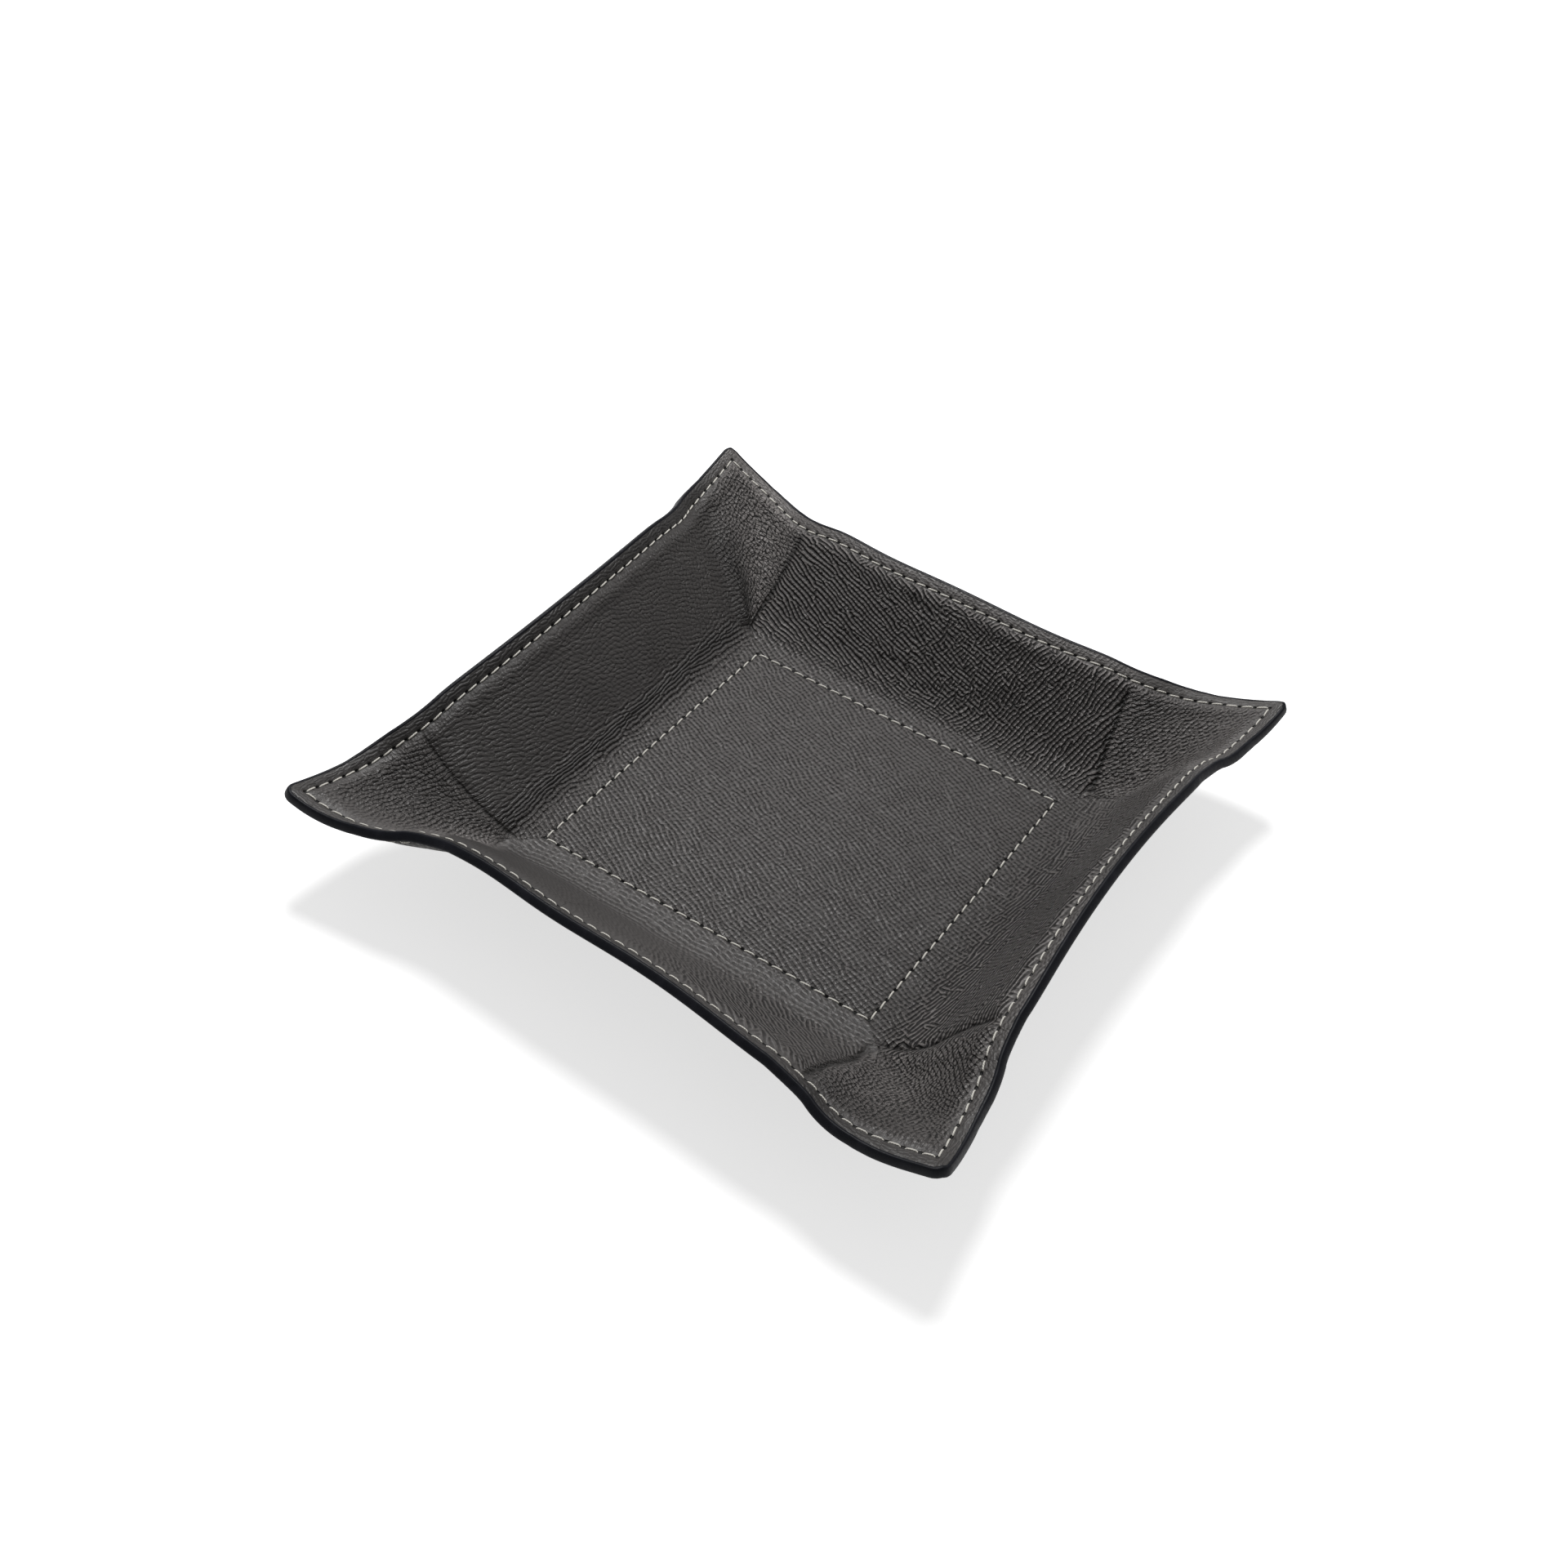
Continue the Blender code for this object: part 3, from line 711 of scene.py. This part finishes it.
grainOfSpouts = {
    (-1, 1): [(0, 0.35, 50, 0.60, 90, -0.37, 0.6), (25, 0.60, 20, 1.60, 98, -0.28, 1.2),
              (45, 1.00, 15, 1.80, 98, 0.24, 2.4), (62, 1.20, 10, 0.90, 98, 0.52, 3.4),
              (76, 1.20, 0, 0.90, 94, 0.36, 3.0), (88, 1.20, -3, 1.00, 90, 0.0, 2.0)],
    (1, 1): [(10, 0.80, 15, 0.80, 60, 0.20, 0.8), (45, 1.30, 18, 1.30, 50, 0.20, 1.0),
             (80, 0.90, 15, 2.40, 49, 0.20, 1.4)],
    (1, -1): [(10, 4.20, 135, 5.00, 68, 0.56, 2.6), (45, 1.00, 135, 1.70, 82, 0.38, 2.0),
              (80, 1.30, 158, 1.20, 105, 0.19, 1.6)],
    (-1, -1): [(10, 0.60, -22, 1.00, 75, -0.15, 1.0), (40, 0.60, 155, 1.00, 92, -0.05, 1.0),
               (70, 0.40, 8, 0.35, 100, 0.24, 0.4)],
}
# Painted light and shade at the tips: each tip is drawn lighter or darker, in the order of cornerSigns
paintedTipShading = (0.0, -0.36, 0.12, -0.08)        # how much lighter each tip is
foldLines = (0.75, 0.40, 1.35, 0.25)        # fine lines along each fold
rimPuckers = (0.30, 0.80, 0.40, 0.15)


# How strongly each kind of grain shows over the flat leather, and which way it runs
def grainFields():
    u, v = flatU / mm, flatV / mm
    out, low = outOf(u, v), np.minimum(np.abs(u), np.abs(v))
    base, rim = baseHalf / mm, rimSeamHalf / mm
    run = out - base
    side, corner = sideOf(u, v), (u > 0) + 2 * (v > 0)
    isU = side % 2 == 0
    backLeft, frontRight, frontLeft = (u < 0) & (v > 0), (u > 0) & (v < 0), (u < 0) & (v < 0)
    turn = np.arctan2(np.abs(v) - base, np.abs(u) - base)
    reach = np.hypot(np.abs(u) - base, np.abs(v) - base)
    wall = ease((run + 2) / 8)
    spout = 0
    for (signU, signV), *pair in zip(creaseCorners, backFrontCreases, leftRightCreases):
        inward, beyond = [alongCrease(flatU, flatV, *crease[:3])[1] * signU * signV / mm for crease in pair]
        inside = ease(inward / pair[0][6] / 2 + 0.5) * ease(-beyond / pair[1][6] / 2 + 0.5)
        spout = spout + inside * (u * signU > 45) * (v * signV > 45) * ease((low - 52) / 4)

    # Reads a column of the tables at every point
    def readTables(tables, keys, which, spots, column):
        columns = [np.array(tables[key])[:, [0, column]].T for key in keys]
        return np.choose(which, [np.interp(spots, *pair) for pair in columns])

    grain = []
    for column, onBase in enumerate(grainOfBase, 1):
        onWalls = readTables(grainOfWalls, sideNames, side, np.where(isU, v, u), column)
        onSpouts = readTables(grainOfSpouts, cornerSigns, corner, turn / deg, column)
        onWalls = onWalls + (onSpouts - onWalls) * spout
        grain.append(onBase + (onWalls - onBase) * wall)
    mainGrain, mainTurn, crossGrain, crossTurn, paintedShading, crackle = grain
    drift = 9 * latticeNoise(u / 15, v / 15, 41) + 90

    nearRim = ease((out - wallBoardTop / mm + 0.2) / 3)
    onMargin = ease((out - rim - 0.5) / 1.2)
    atFoot = bell(reach, 15) * spout * frontLeft
    atFold = (side == 3) * bell(run + 1, 5, 4)
    calm = (1 - 0.9 * nearRim) * (1 - 0.5 * ease((reach - 30) / 18) * spout * (1 - backLeft))
    calm = calm * (1 - 0.4 * atFoot) * (1 - 0.75 * atFold)

    # Fine lines run along the folds, fan out in the back left spout and ring the foot of the others
    parallel = np.where(isU, 90, 0)
    radial = np.arctan2(np.sign(v) * np.sin(turn), np.sign(u) * np.cos(turn)) / deg
    fold = np.choose(side, foldLines) * bell(run - 4, 6)
    fans = backLeft * bell(turn / deg - 24, 15) * bell(reach - 25, 20, 4)
    arcs = (1 - backLeft) * bell(reach - 9, 9) * np.where(frontRight, 0.9, 0.6)
    fine = fold * (1 - spout) + (1.6 * fans + arcs) * ease((spout - 0.5) * 2)
    fine = fine * (1 - nearRim) * np.minimum(np.abs(spout - 0.5) * 2, 1)
    fineTurn = np.where(spout > 0.5, np.where(backLeft, radial, radial + 90), parallel)
    puckers = np.choose(side, rimPuckers) * bell(out - rim + 2.4, 1.7)
    puckers = puckers + 0.30 * bell(out - 53, 2.2) * (1 - wall) * (side != 3)
    atTip = np.choose(corner, paintedTipShading) * ease((reach - 24) / 18) * spout
    return {
        "mainGrain": mainGrain * calm, "mainTurn": (mainTurn + drift) * deg,
        "crossGrain": crossGrain * calm, "crossTurn": (crossTurn + drift) * deg,
        "lines": fine + 0.30 * atFold * (1 - spout), "linesTurn": (fineTurn + drift) * deg,
        "puckers": puckers + 0.5 * onMargin,
        "puckersTurn": (parallel + 90 * (1 - onMargin.round()) + 90) * deg,
        "woven": wall * (side != 2) * (1 - spout),
        "crackle": crackle * calm,
        # Painted light and shade: the tables' values, the front left foot drawn lighter, the base drawn
        # darker toward the right, the sewn margin drawn darker and each tip lighter or darker
        "paintedShading": paintedShading + 0.3 * atFoot - 0.09 * ease((u + 10) / 60) * (1 - wall) - 0.17 * onMargin + atTip,
        "combed": 0.92 - 0.07 * spout - 0.12 * (side == 2) * wall * (1 - spout),
    }


# 1 in the needle holes of both seams, and 1 along the seams, the band that a painted shadow darkens on the
# lining
def holeMask(flat):
    u, v, _ = split(flat)
    u, v = u.math("ABSOLUTE"), v.math("ABSOLUTE")
    out, low = u.math("MAXIMUM", v), u.math("MINIMUM", v)
    pitch = stitches["pitch"] / mm
    spots = low / pitch
    length, width = stitches["hole"]
    along = (spots - spots.math("ROUND")) * (pitch / length)
    rim = (out - pitch * stitches["rimCount"] / 2).math("ABSOLUTE")
    base = (out - pitch * stitches["baseCount"] / 2).math("ABSOLUTE")
    across = rim.math("MINIMUM", base) / width
    away = (along * along + across * across).math("POWER", 0.5)
    return fade(away, 1.15, 0.75), fade(across, 2.6, 0.4)


def liningFinish():
    finish, tree = newFinish("liningLeather")
    look = liningLook
    flat = mapOf(tree, "unrolled")
    combed = field(tree, "combed")
    woven = field(tree, "woven")
    flank = woven * 0.5 + 0.25          # thin grooves, or even ones where woven
    stir = noise(flat, 0.45, out=1)
    stirred = node(tree, "ShaderNodeVectorMath", {0: stir, 1: (2.2, 2.2, 0), 2: flat},
                   operation="MULTIPLY_ADD")
    slanted = node(tree, "ShaderNodeMapping", {0: stirred, 2: (0, 0, 24 * deg), 3: (0.46, 0.78, 1)})
    cells = node(tree, "ShaderNodeTexVoronoi", {"Vector": slanted, "Scale": 1.0}, "Distance",
                 voronoi_dimensions="2D", feature="DISTANCE_TO_EDGE")
    heights = {
        "mainGrain": ridges(flat, field(tree, "mainTurn"), look["mainPitch"], 3.2, combed, flank),
        "crossGrain": ridges(flat, field(tree, "crossTurn"), look["crossPitch"], 2.4, combed, flank),
        "crackle": fade(cells, 0.0, split(stir)[2] * 0.30 + 0.02),
        "lines": ridges(flat, field(tree, "linesTurn"), look["linePitch"], 3.0, 0.9),
        "puckers": ridges(flat, field(tree, "puckersTurn"), look["puckerPitch"], 2.0, 0.75),
    }

    # In each patch of the woven grain one of the two families leads
    lean = field(tree, "mainGrain") - field(tree, "crossGrain")
    domains = noise(flat, 0.30, 1.0, Distortion=0.4) + lean * 0.13
    leads = {"mainGrain": (0.43, 0.57), "crossGrain": (0.57, 0.43)}
    relief = {}
    for name, height in heights.items():
        strength = field(tree, name) * look["depths"][name]
        if name in leads:
            lead = fade(domains, *leads[name], 0.25, 1.25)
            strength = strength * ((lead - 1.0) * woven + 1.0)
        relief[name] = (height - 0.5) * strength

    patches = noise(flat, 0.16)
    embossed = relief["mainGrain"] + relief["crossGrain"] + relief["crackle"]
    embossed = embossed * fade(patches, 0.3, 0.7, 0.8, 1.2)
    pores = noise(flat, 2.6, Roughness=0.6) * look["poreDepth"]
    height = embossed + relief["lines"] + relief["puckers"] + pores
    # Random patches of tone, with painted shade in the grain's hollows and painted light on its crests
    tone = patches * 0.16 + fade(height, -0.2, 0.2) * 0.84
    # Painted light and shade: the tone is scaled up or down part by part
    tone = tone * (field(tree, "paintedShading") * 2.0 + 1.0)
    hole, seam = holeMask(flat)
    pinches = []
    for name in ("backFront", "leftRight"):
        near = fade(field(tree, name + "Across").math("ABSOLUTE"), 0.75, 0.05)
        pinches.append(field(tree, name + "Pinch") * near)
    pinch = pinches[0].math("MAXIMUM", pinches[1])
    height = height - hole * look["holeDepth"] - pinch * look["pinchDepth"]
    colour = mixColour(tone, look["dark"], look["light"])
    # Painted shade along the creases, darkest where the pinch is sharpest
    colour = mixColour(pinch * 0.85, colour, look["paintedCreaseShade"])
    # Painted shadow along the seams
    colour = mixColour(seam * 0.25, colour, look["dark"])
    # Painted shade in the needle holes
    colour = mixColour(hole, colour, look["hole"])
    smooth, coarse = look["roughness"]
    return dress(finish, colour, fade(height, -0.1, 0.12, coarse, smooth), look["specular"], height)


# A leather between two reliefs, fine where it is seen and coarse where it is hidden. Nothing of it goes
# below the table
def makeSheet(name, seen, hidden, seenIsTop, finish):
    fine, coarse = [gridPlaces + gridNormals * relief[..., None] for relief in (seen, hidden)]
    fine[..., 2] = np.maximum(fine[..., 2], 0)
    vertices, faces, groups = closedSheet(fine, coarse, seenIsTop)
    piece = addPiece(name + "_grained", vertices, faces.tolist(), finish, [name])
    addMap(piece, "unrolled", onSheet(unrolled(flatU), unrolled(flatV)))
    addBakeMap(piece, onSheet(flatU, flatV), groups)
    print(name, "made:", len(faces), "triangles")
    return piece


def makeLining():
    even = smoothRelief(flatU, flatV)
    seen = even + wrinkles(flatU, flatV) + holePits(flatU, flatV)
    piece = makeSheet("lining_leather", seen, even - tray["leather"], True, liningFinish())
    for name, values in grainFields().items():
        addField(piece, name, onSheet(values))
    for name, folds in (("backFront", backFrontCreases), ("leftRight", leftRightCreases)):
        sides = [alongCrease(flatU, flatV, *fold[:3])[1:] for fold in folds]
        nearest = np.argmin([np.abs(across) + 40 * mm * (1 - fades) for across, fades in sides], 0)
        across = [np.clip(side[0] / mm * 1.3 / fold[4], -4, 4) for side, fold in zip(sides, folds)]
        # The pinch fields also set the painted shade in the creases
        pinch = [side[1] * fold[5] for side, fold in zip(sides, folds)]
        addField(piece, name + "Across", onSheet(np.choose(nearest, across)))
        addField(piece, name + "Pinch", onSheet(np.choose(nearest, pinch)))


# Outer leather

outerLook = {
    # The outer leather's colour runs from dark to light; its grain's hollows take painted shade toward dark
    # and its crests painted light toward light, and its needle holes painted shade
    "dark": (0.030, 0.0285, 0.027),
    "light": (0.078, 0.073, 0.068),
    "hole": (0.006, 0.006, 0.006),
    "mainTurn": 24 * deg,
    "crossTurn": -66 * deg,
    "grainDepth": 0.11,
    "holeDepth": 0.35,
    "roughness": (0.48, 0.64),
    "specular": 0.25,
    "unevenness": 0.10,         # millimetres
}


def outerFinish():
    finish, tree = newFinish("outerLeather")
    look = outerLook
    flat = mapOf(tree, "unrolled")
    mainRidges = ridges(flat, look["mainTurn"] + 90 * deg, liningLook["mainPitch"], 2.2, 0.88)
    crossRidges = ridges(flat, look["crossTurn"] + 90 * deg, liningLook["crossPitch"], 2.2, 0.88)
    grain = noise(flat, 3.0) * 0.3 + (mainRidges + crossRidges * 0.8)
    hole, _ = holeMask(flat)
    # Random tone, with painted shade in the grain's hollows and painted light on its crests
    tone = noise(flat, 0.13) * 0.35 + fade(grain, 0.3, 1.7) * 0.65
    # Painted shade in the needle holes
    colour = mixColour(hole, mixColour(tone, look["dark"], look["light"]), look["hole"])
    smooth, coarse = look["roughness"]
    return dress(finish, colour, fade(grain, 0.3, 1.7, coarse, smooth), look["specular"],
                 grain * look["grainDepth"] - hole * look["holeDepth"])


def makeOuter():
    unevenness = outerLook["unevenness"] * mm * latticeNoise(flatU / (12 * mm), flatV / (10 * mm), 21)
    offBase = ease((outOf(flatU, flatV) - baseSeamHalf + 2 * mm) / (4 * mm))
    even = outerRelief(flatU, flatV)
    seen = even - holePits(flatU, flatV) * 0.7 + unevenness * offBase
    makeSheet("outer_leather", seen, even + tray["leather"] * 0.95, False, outerFinish())


# Stiffeners, inside between the leathers

boardLook = {
    "pale": (0.42, 0.32, 0.21),
    "deep": (0.20, 0.14, 0.085),
    "roughness": 0.85,
    "step": 3.2 * mm,           # of its mesh
}


def boardFinish():
    finish, tree = newFinish("bondedBoard")
    spots = node(tree, "ShaderNodeTexCoord", out="Object")
    fibre = noise(spots, 900.0, 4.0, kind="3D")
    flecks = node(tree, "ShaderNodeTexVoronoi", {"Vector": spots, "Scale": 420.0}, "Distance")
    tone = fibre * fade(flecks, 0.0, 0.6, 0.6, 1.2)
    colour = mixColour(tone, boardLook["deep"], boardLook["pale"])
    return dress(finish, colour, boardLook["roughness"], 0.5, fibre, 0.1 * mm, 0.6)


# A stiffener between two pairs of flat lines, sandwiched in the gap between the leathers
def makeBoard(name, uRange, vRange, finish):
    lineU, lineV = [np.linspace(*ends, max(3, round((ends[1] - ends[0]) / boardLook["step"])))
                    for ends in (uRange, vRange)]
    u, v = np.meshgrid(lineU, lineV, indexing="ij")
    places, normals = surface(u, v)
    top = smoothRelief(u, v) - tray["leather"] - tray["clearance"]
    heights = np.stack([top, top - tray["board"]])[..., None]
    index = np.arange(u.size).reshape(u.shape)
    below = index + u.size
    ring, lowRing = borderOf(index), borderOf(below)
    nextRing, nextLow = np.roll(ring, -1), np.roll(lowRing, -1)
    faces = [cellFaces(index, False, lineU, lineV), cellFaces(below, True, lineU, lineV),
             np.stack([ring, lowRing, nextLow], -1), np.stack([ring, nextLow, nextRing], -1)]
    addPiece(name + "_fitted", places + normals * heights, np.concatenate(faces).tolist(), finish,
             [name], 40)


def makeBoards():
    finish = boardFinish()
    span, floor = (-wallBoardHalf, wallBoardHalf), (-boardEdge, boardEdge)
    rise, fall = (wallBoardFoot, wallBoardTop), (-wallBoardTop, -wallBoardFoot)
    stays = {1: (stayStart, wallBoardTop), -1: (-wallBoardTop, -stayStart)}
    makeBoard("base_board", floor, floor, finish)
    makeBoard("wall_board_right", rise, span, finish)
    makeBoard("wall_board_left", fall, span, finish)
    makeBoard("wall_board_back", span, rise, finish)
    makeBoard("wall_board_front", span, fall, finish)
    makeBoard("corner_stay_back_right", stays[1], stays[1], finish)
    makeBoard("corner_stay_back_left", stays[-1], stays[1], finish)
    makeBoard("corner_stay_front_left", stays[-1], stays[-1], finish)
    makeBoard("corner_stay_front_right", stays[1], stays[-1], finish)
    print("stiffeners made")


# Painted edge

edgeLook = {
    "colour": (0.0062, 0.0068, 0.0100),
    "worn": (0.0115, 0.012, 0.0165),
    "roughness": (0.42, 0.58),
    "specular": 0.16,
    "bulge": 0.40 * mm,
    "lip": 0.42 * mm,           # paint drawn over the face of the leather
    "lipHeight": 0.07 * mm,
    "steps": 9,
}


def edgeFinish():
    finish, tree = newFinish("edgePaint")
    spots = node(tree, "ShaderNodeTexCoord", out="Object")
    waves, specks = noise(spots, 260.0, kind="3D"), noise(spots, 1500.0, kind="3D")
    colour = mixColour(fade(waves, 0.45, 0.75), edgeLook["colour"], edgeLook["worn"])
    rough = fade(specks, 0.2, 0.8, *edgeLook["roughness"])
    return dress(finish, colour, rough, edgeLook["specular"], specks * 0.25 + waves, 0.07 * mm, 0.8)


def makeEdge():
    u, v, places, up = [borderOf(values) for values in (flatU, flatV, gridPlaces, gridNormals)]
    out = unit(np.cross(np.roll(places, -1, axis=0) - np.roll(places, 1, axis=0), up))
    top, bottom = smoothRelief(u, v), outerRelief(u, v)
    middle, half = (top + bottom) / 2, (top - bottom) / 2
    lip, lipHeight, bulge = edgeLook["lip"], edgeLook["lipHeight"], edgeLook["bulge"]
    inner = 1 - lip / edgeHalf
    topIn, bottomIn = smoothRelief(u * inner, v * inner), outerRelief(u * inner, v * inner)
    section = [(-lip, bottomIn + 0.2 * mm), (-lip, bottomIn - 0.01 * mm),
               (-lip * 0.75, bottomIn - lipHeight)]
    for turn in np.linspace(-90, 90, edgeLook["steps"]) * deg:
        sweep = np.sign(np.sin(turn)) * np.abs(np.sin(turn)) ** 0.8
        section.append((bulge * np.cos(turn) ** 0.7, middle + (half + lipHeight) * sweep))
    section += [(-lip * 0.75, topIn + lipHeight), (-lip, topIn + 0.01 * mm), (-lip, topIn - 0.2 * mm)]
    rings = [places + out * a + up * b[:, None] for a, b in section]
    index = np.arange(len(rings) * len(u)).reshape(len(rings), -1)
    beside = np.roll(index, -1, axis=0)
    faces = np.stack([index, np.roll(index, -1, axis=1), np.roll(beside, -1, axis=1), beside], -1)
    faces = faces.reshape(-1, 4)
    addPiece("painted_edge_rounded", np.concatenate(rings), faces.tolist(), edgeFinish(),
             ["painted_edge"], 60)
    print("painted edge made:", len(faces), "faces")


# Stitches

threadLook = {
    "colour": (0.80, 0.78, 0.72),
    # Painted shade: the darker colour of the thread, which it is drawn in the grooves of its twist
    "paintedShading": (0.50, 0.475, 0.42),
    "roughness": (0.45, 0.65),
    "plyPitch": 0.62,           # millimetres from one turn of the twist to the next
    "plyDepth": 0.05,
}


def threadFinish():
    finish, tree = newFinish("waxedThread")
    flat = mapOf(tree, "twist")
    along, around, _ = split(flat)
    turns = around * (2 * math.pi) + along * (2 * math.pi / threadLook["plyPitch"])
    ply = turns.math("SINE") * 0.5 + 0.5
    fuzz = noise(flat, 9.0)
    # Random fuzz tone, with painted shade in the grooves of the twist and painted light on its plies
    colour = mixColour(fuzz * 0.4 + ply * 0.7, threadLook["paintedShading"], threadLook["colour"])
    rough = fade(fuzz, 0.3, 0.7, *threadLook["roughness"])
    return dress(finish, colour, rough, 0.5, (fuzz * 0.4 + ply) * threadLook["plyDepth"])


# Middle lines of the stitches of a seam, one row each, and the way up from the leather
def stitchPath(half, relief, facing, seed):
    stops = holeStops[holeStops <= half + 1e-9]
    holes = np.concatenate([-stops[:0:-1], stops])
    share = (1 - np.cos(np.linspace(0, math.pi, stitches["pathSteps"] + 1))) / 2
    start, end = holes[:-1, None], holes[1:, None]
    along = start + (end - start) * (stitches["gap"] + (1 - 2 * stitches["gap"]) * share)
    rng = np.random.default_rng(seed)
    u, v = [], []
    for turn in range(4):
        lean = rng.normal(0, stitches["sway"], (len(along), 1))
        a, b = along, half + (stitches["slant"] * (2 * share - 1) + lean)
        for _ in range(turn):
            a, b = b, -a
        u.append(a)
        v.append(b)
    u, v = np.concatenate(u), np.concatenate(v)
    fromMiddle = np.broadcast_to(2 * share - 1, u.shape)
    arch = stitches["arch"] * (1 - fromMiddle ** 2) * (1 if facing > 0 else 0.4)
    arch = arch * rng.uniform(0.75, 1.25, (len(u), 1))
    rest = stitches["threadRadius"] * (0.4 if facing > 0 else 0.1)     # pulled flatter on the outside
    height = relief(u, v) + facing * (rest + arch - stitches["sink"] * np.abs(fromMiddle) ** 6)
    places, up = surface(u, v)
    return places + up * height[..., None], up * facing


def makeThread(name, half, relief, facing, seed, finish):
    path, up = stitchPath(half, relief, facing, seed)
    tangent = unit(np.gradient(path, axis=1))
    sideways = unit(np.cross(tangent, up))
    upward = np.cross(sideways, tangent) * stitches["flatness"]
    sides = stitches["sides"]
    turn = np.arange(sides) / sides * 2 * math.pi
    swell = 1 - stitches["thinning"] * np.abs(np.cos(np.linspace(0, math.pi, path.shape[1]))) ** 3
    ring = sideways[:, :, None] * np.cos(turn)[:, None] + upward[:, :, None] * np.sin(turn)[:, None]
    vertices = path[:, :, None] + ring * (stitches["threadRadius"] * swell)[None, :, None, None]
    count, rings = path.shape[:2]
    index = np.arange(count * rings * sides).reshape(count, rings, sides)
    beside = np.roll(index, -1, axis=2)
    quads = np.stack([index[:, :-1], index[:, 1:], beside[:, 1:], beside[:, :-1]], -1).reshape(-1, 4)
    faces = quads.tolist() + index[:, 0].tolist() + index[:, -1, ::-1].tolist()
    piece = addPiece(name + "_stitches", vertices, faces, finish, [name], 70)
    steps = np.linalg.norm(np.diff(path, axis=1), axis=-1)
    travel = np.concatenate([np.zeros((count, 1)), np.cumsum(steps, 1)], 1)
    # Each stitch is twisted its own way
    along = travel[:, :, None] / mm + np.arange(count)[:, None, None] * 3.7
    around = np.abs(turn / math.pi - 1)
    addMap(piece, "twist", np.stack(np.broadcast_arrays(along, around), -1).reshape(-1, 2))
    print(name, "made:", count, "stitches")


def makeThreads():
    finish = threadFinish()
    makeThread("rim_needle_thread", rimSeamHalf, smoothRelief, 1, 31, finish)
    makeThread("base_needle_thread", baseSeamHalf, smoothRelief, 1, 32, finish)
    makeThread("rim_bobbin_thread", rimSeamHalf, outerRelief, -1, 33, finish)
    makeThread("base_bobbin_thread", baseSeamHalf, outerRelief, -1, 34, finish)


# Floor, camera and light

stage = {
    "floorHalf": 6.0,
    "floorDrop": 0.1 * mm,
    "floorColour": (0.80, 0.80, 0.80),
    "whiteLift": 0.66,          # what the camera sees added to the floor, so that it reads as white paper
}


def makeFloor():
    bpy.ops.mesh.primitive_plane_add(size=2 * stage["floorHalf"], location=(0, 0, -stage["floorDrop"]))
    floor = bpy.context.object
    floor.name = "floor"
    finish, tree = newFinish("paleFloor")
    tree.nodes.remove(tree.nodes["Principled BSDF"])
    direct, glossy, through = [node(tree, "ShaderNodeLightPath", out=name)
                               for name in ("Is Camera Ray", "Is Glossy Ray", "Is Transmission Ray")]
    seen = direct.math("MAXIMUM", glossy).math("MAXIMUM", through)
    paper = node(tree, "ShaderNodeBsdfDiffuse", {"Color": (*stage["floorColour"], 1)})
    glow = node(tree, "ShaderNodeEmission", {"Color": (1, 1, 1, 1), "Strength": seen * stage["whiteLift"]})
    both = node(tree, "ShaderNodeAddShader", {0: paper, 1: glow})
    plug(tree, tree.nodes["Material Output"], {"Surface": both})
    floor.data.materials.append(finish)


camera = {
    "azimuth": 27.99 * deg,
    "elevation": 42.43 * deg,
    "distance": 516.9 * mm,
    "target": (-12.65 * mm, 7.25 * mm, floorHeight),
    "roll": 7.86 * deg,
    "focal": 2306,              # pixels, in a frame 1920 pixels wide
    "frameWidth": 1920,
    "sensor": 36,
}


def makeCamera():
    data = bpy.data.cameras.new("camera")
    data.sensor_width = camera["sensor"]
    data.lens = camera["focal"] * camera["sensor"] / camera["frameWidth"]
    data.clip_start = 0.01
    eye = putIn("camera", data)
    turns = (camera["azimuth"], "Z"), (90 * deg - camera["elevation"], "X"), (camera["roll"], "Z")
    pose = Matrix()
    for angle, axis in turns:
        pose @= Matrix.Rotation(angle, 4, axis)
    pose.translation = Vector(camera["target"]) + pose.col[2].xyz * camera["distance"]
    eye.matrix_world = pose
    bpy.context.scene.camera = eye


light = {
    "keyFrom": (-0.29, 0.36, 0.89),   # direction from the tray to the lamp
    "keyDistance": 1.1,
    "keySize": 0.38,
    "keyPower": 10.8,
    "sky": 0.20,
}


def makeLight():
    data = bpy.data.lights.new("keyLamp", "AREA")
    data.shape = "DISK"
    data.size = light["keySize"]
    data.energy = light["keyPower"]
    lamp = putIn("keyLamp", data)
    toward = Vector(light["keyFrom"]).normalized()
    lamp.location = toward * light["keyDistance"]
    lamp.rotation_mode = "QUATERNION"
    lamp.rotation_quaternion = toward.to_track_quat("Z", "Y")
    world = bpy.data.worlds.new("studio")
    world.use_nodes = True
    tree = world.node_tree
    strength = fade(node(tree, "ShaderNodeLightPath", out="Is Camera Ray"), 0.0, 1.0, light["sky"], 1.0)
    plug(tree, tree.nodes["Background"], {"Color": (1, 1, 1, 1), "Strength": strength})
    bpy.context.scene.world = world
    bpy.context.scene.view_settings.view_transform = "Standard"


makeLining()
makeOuter()
makeBoards()
makeEdge()
makeThreads()
makeFloor()
makeCamera()
makeLight()
print("scene made")
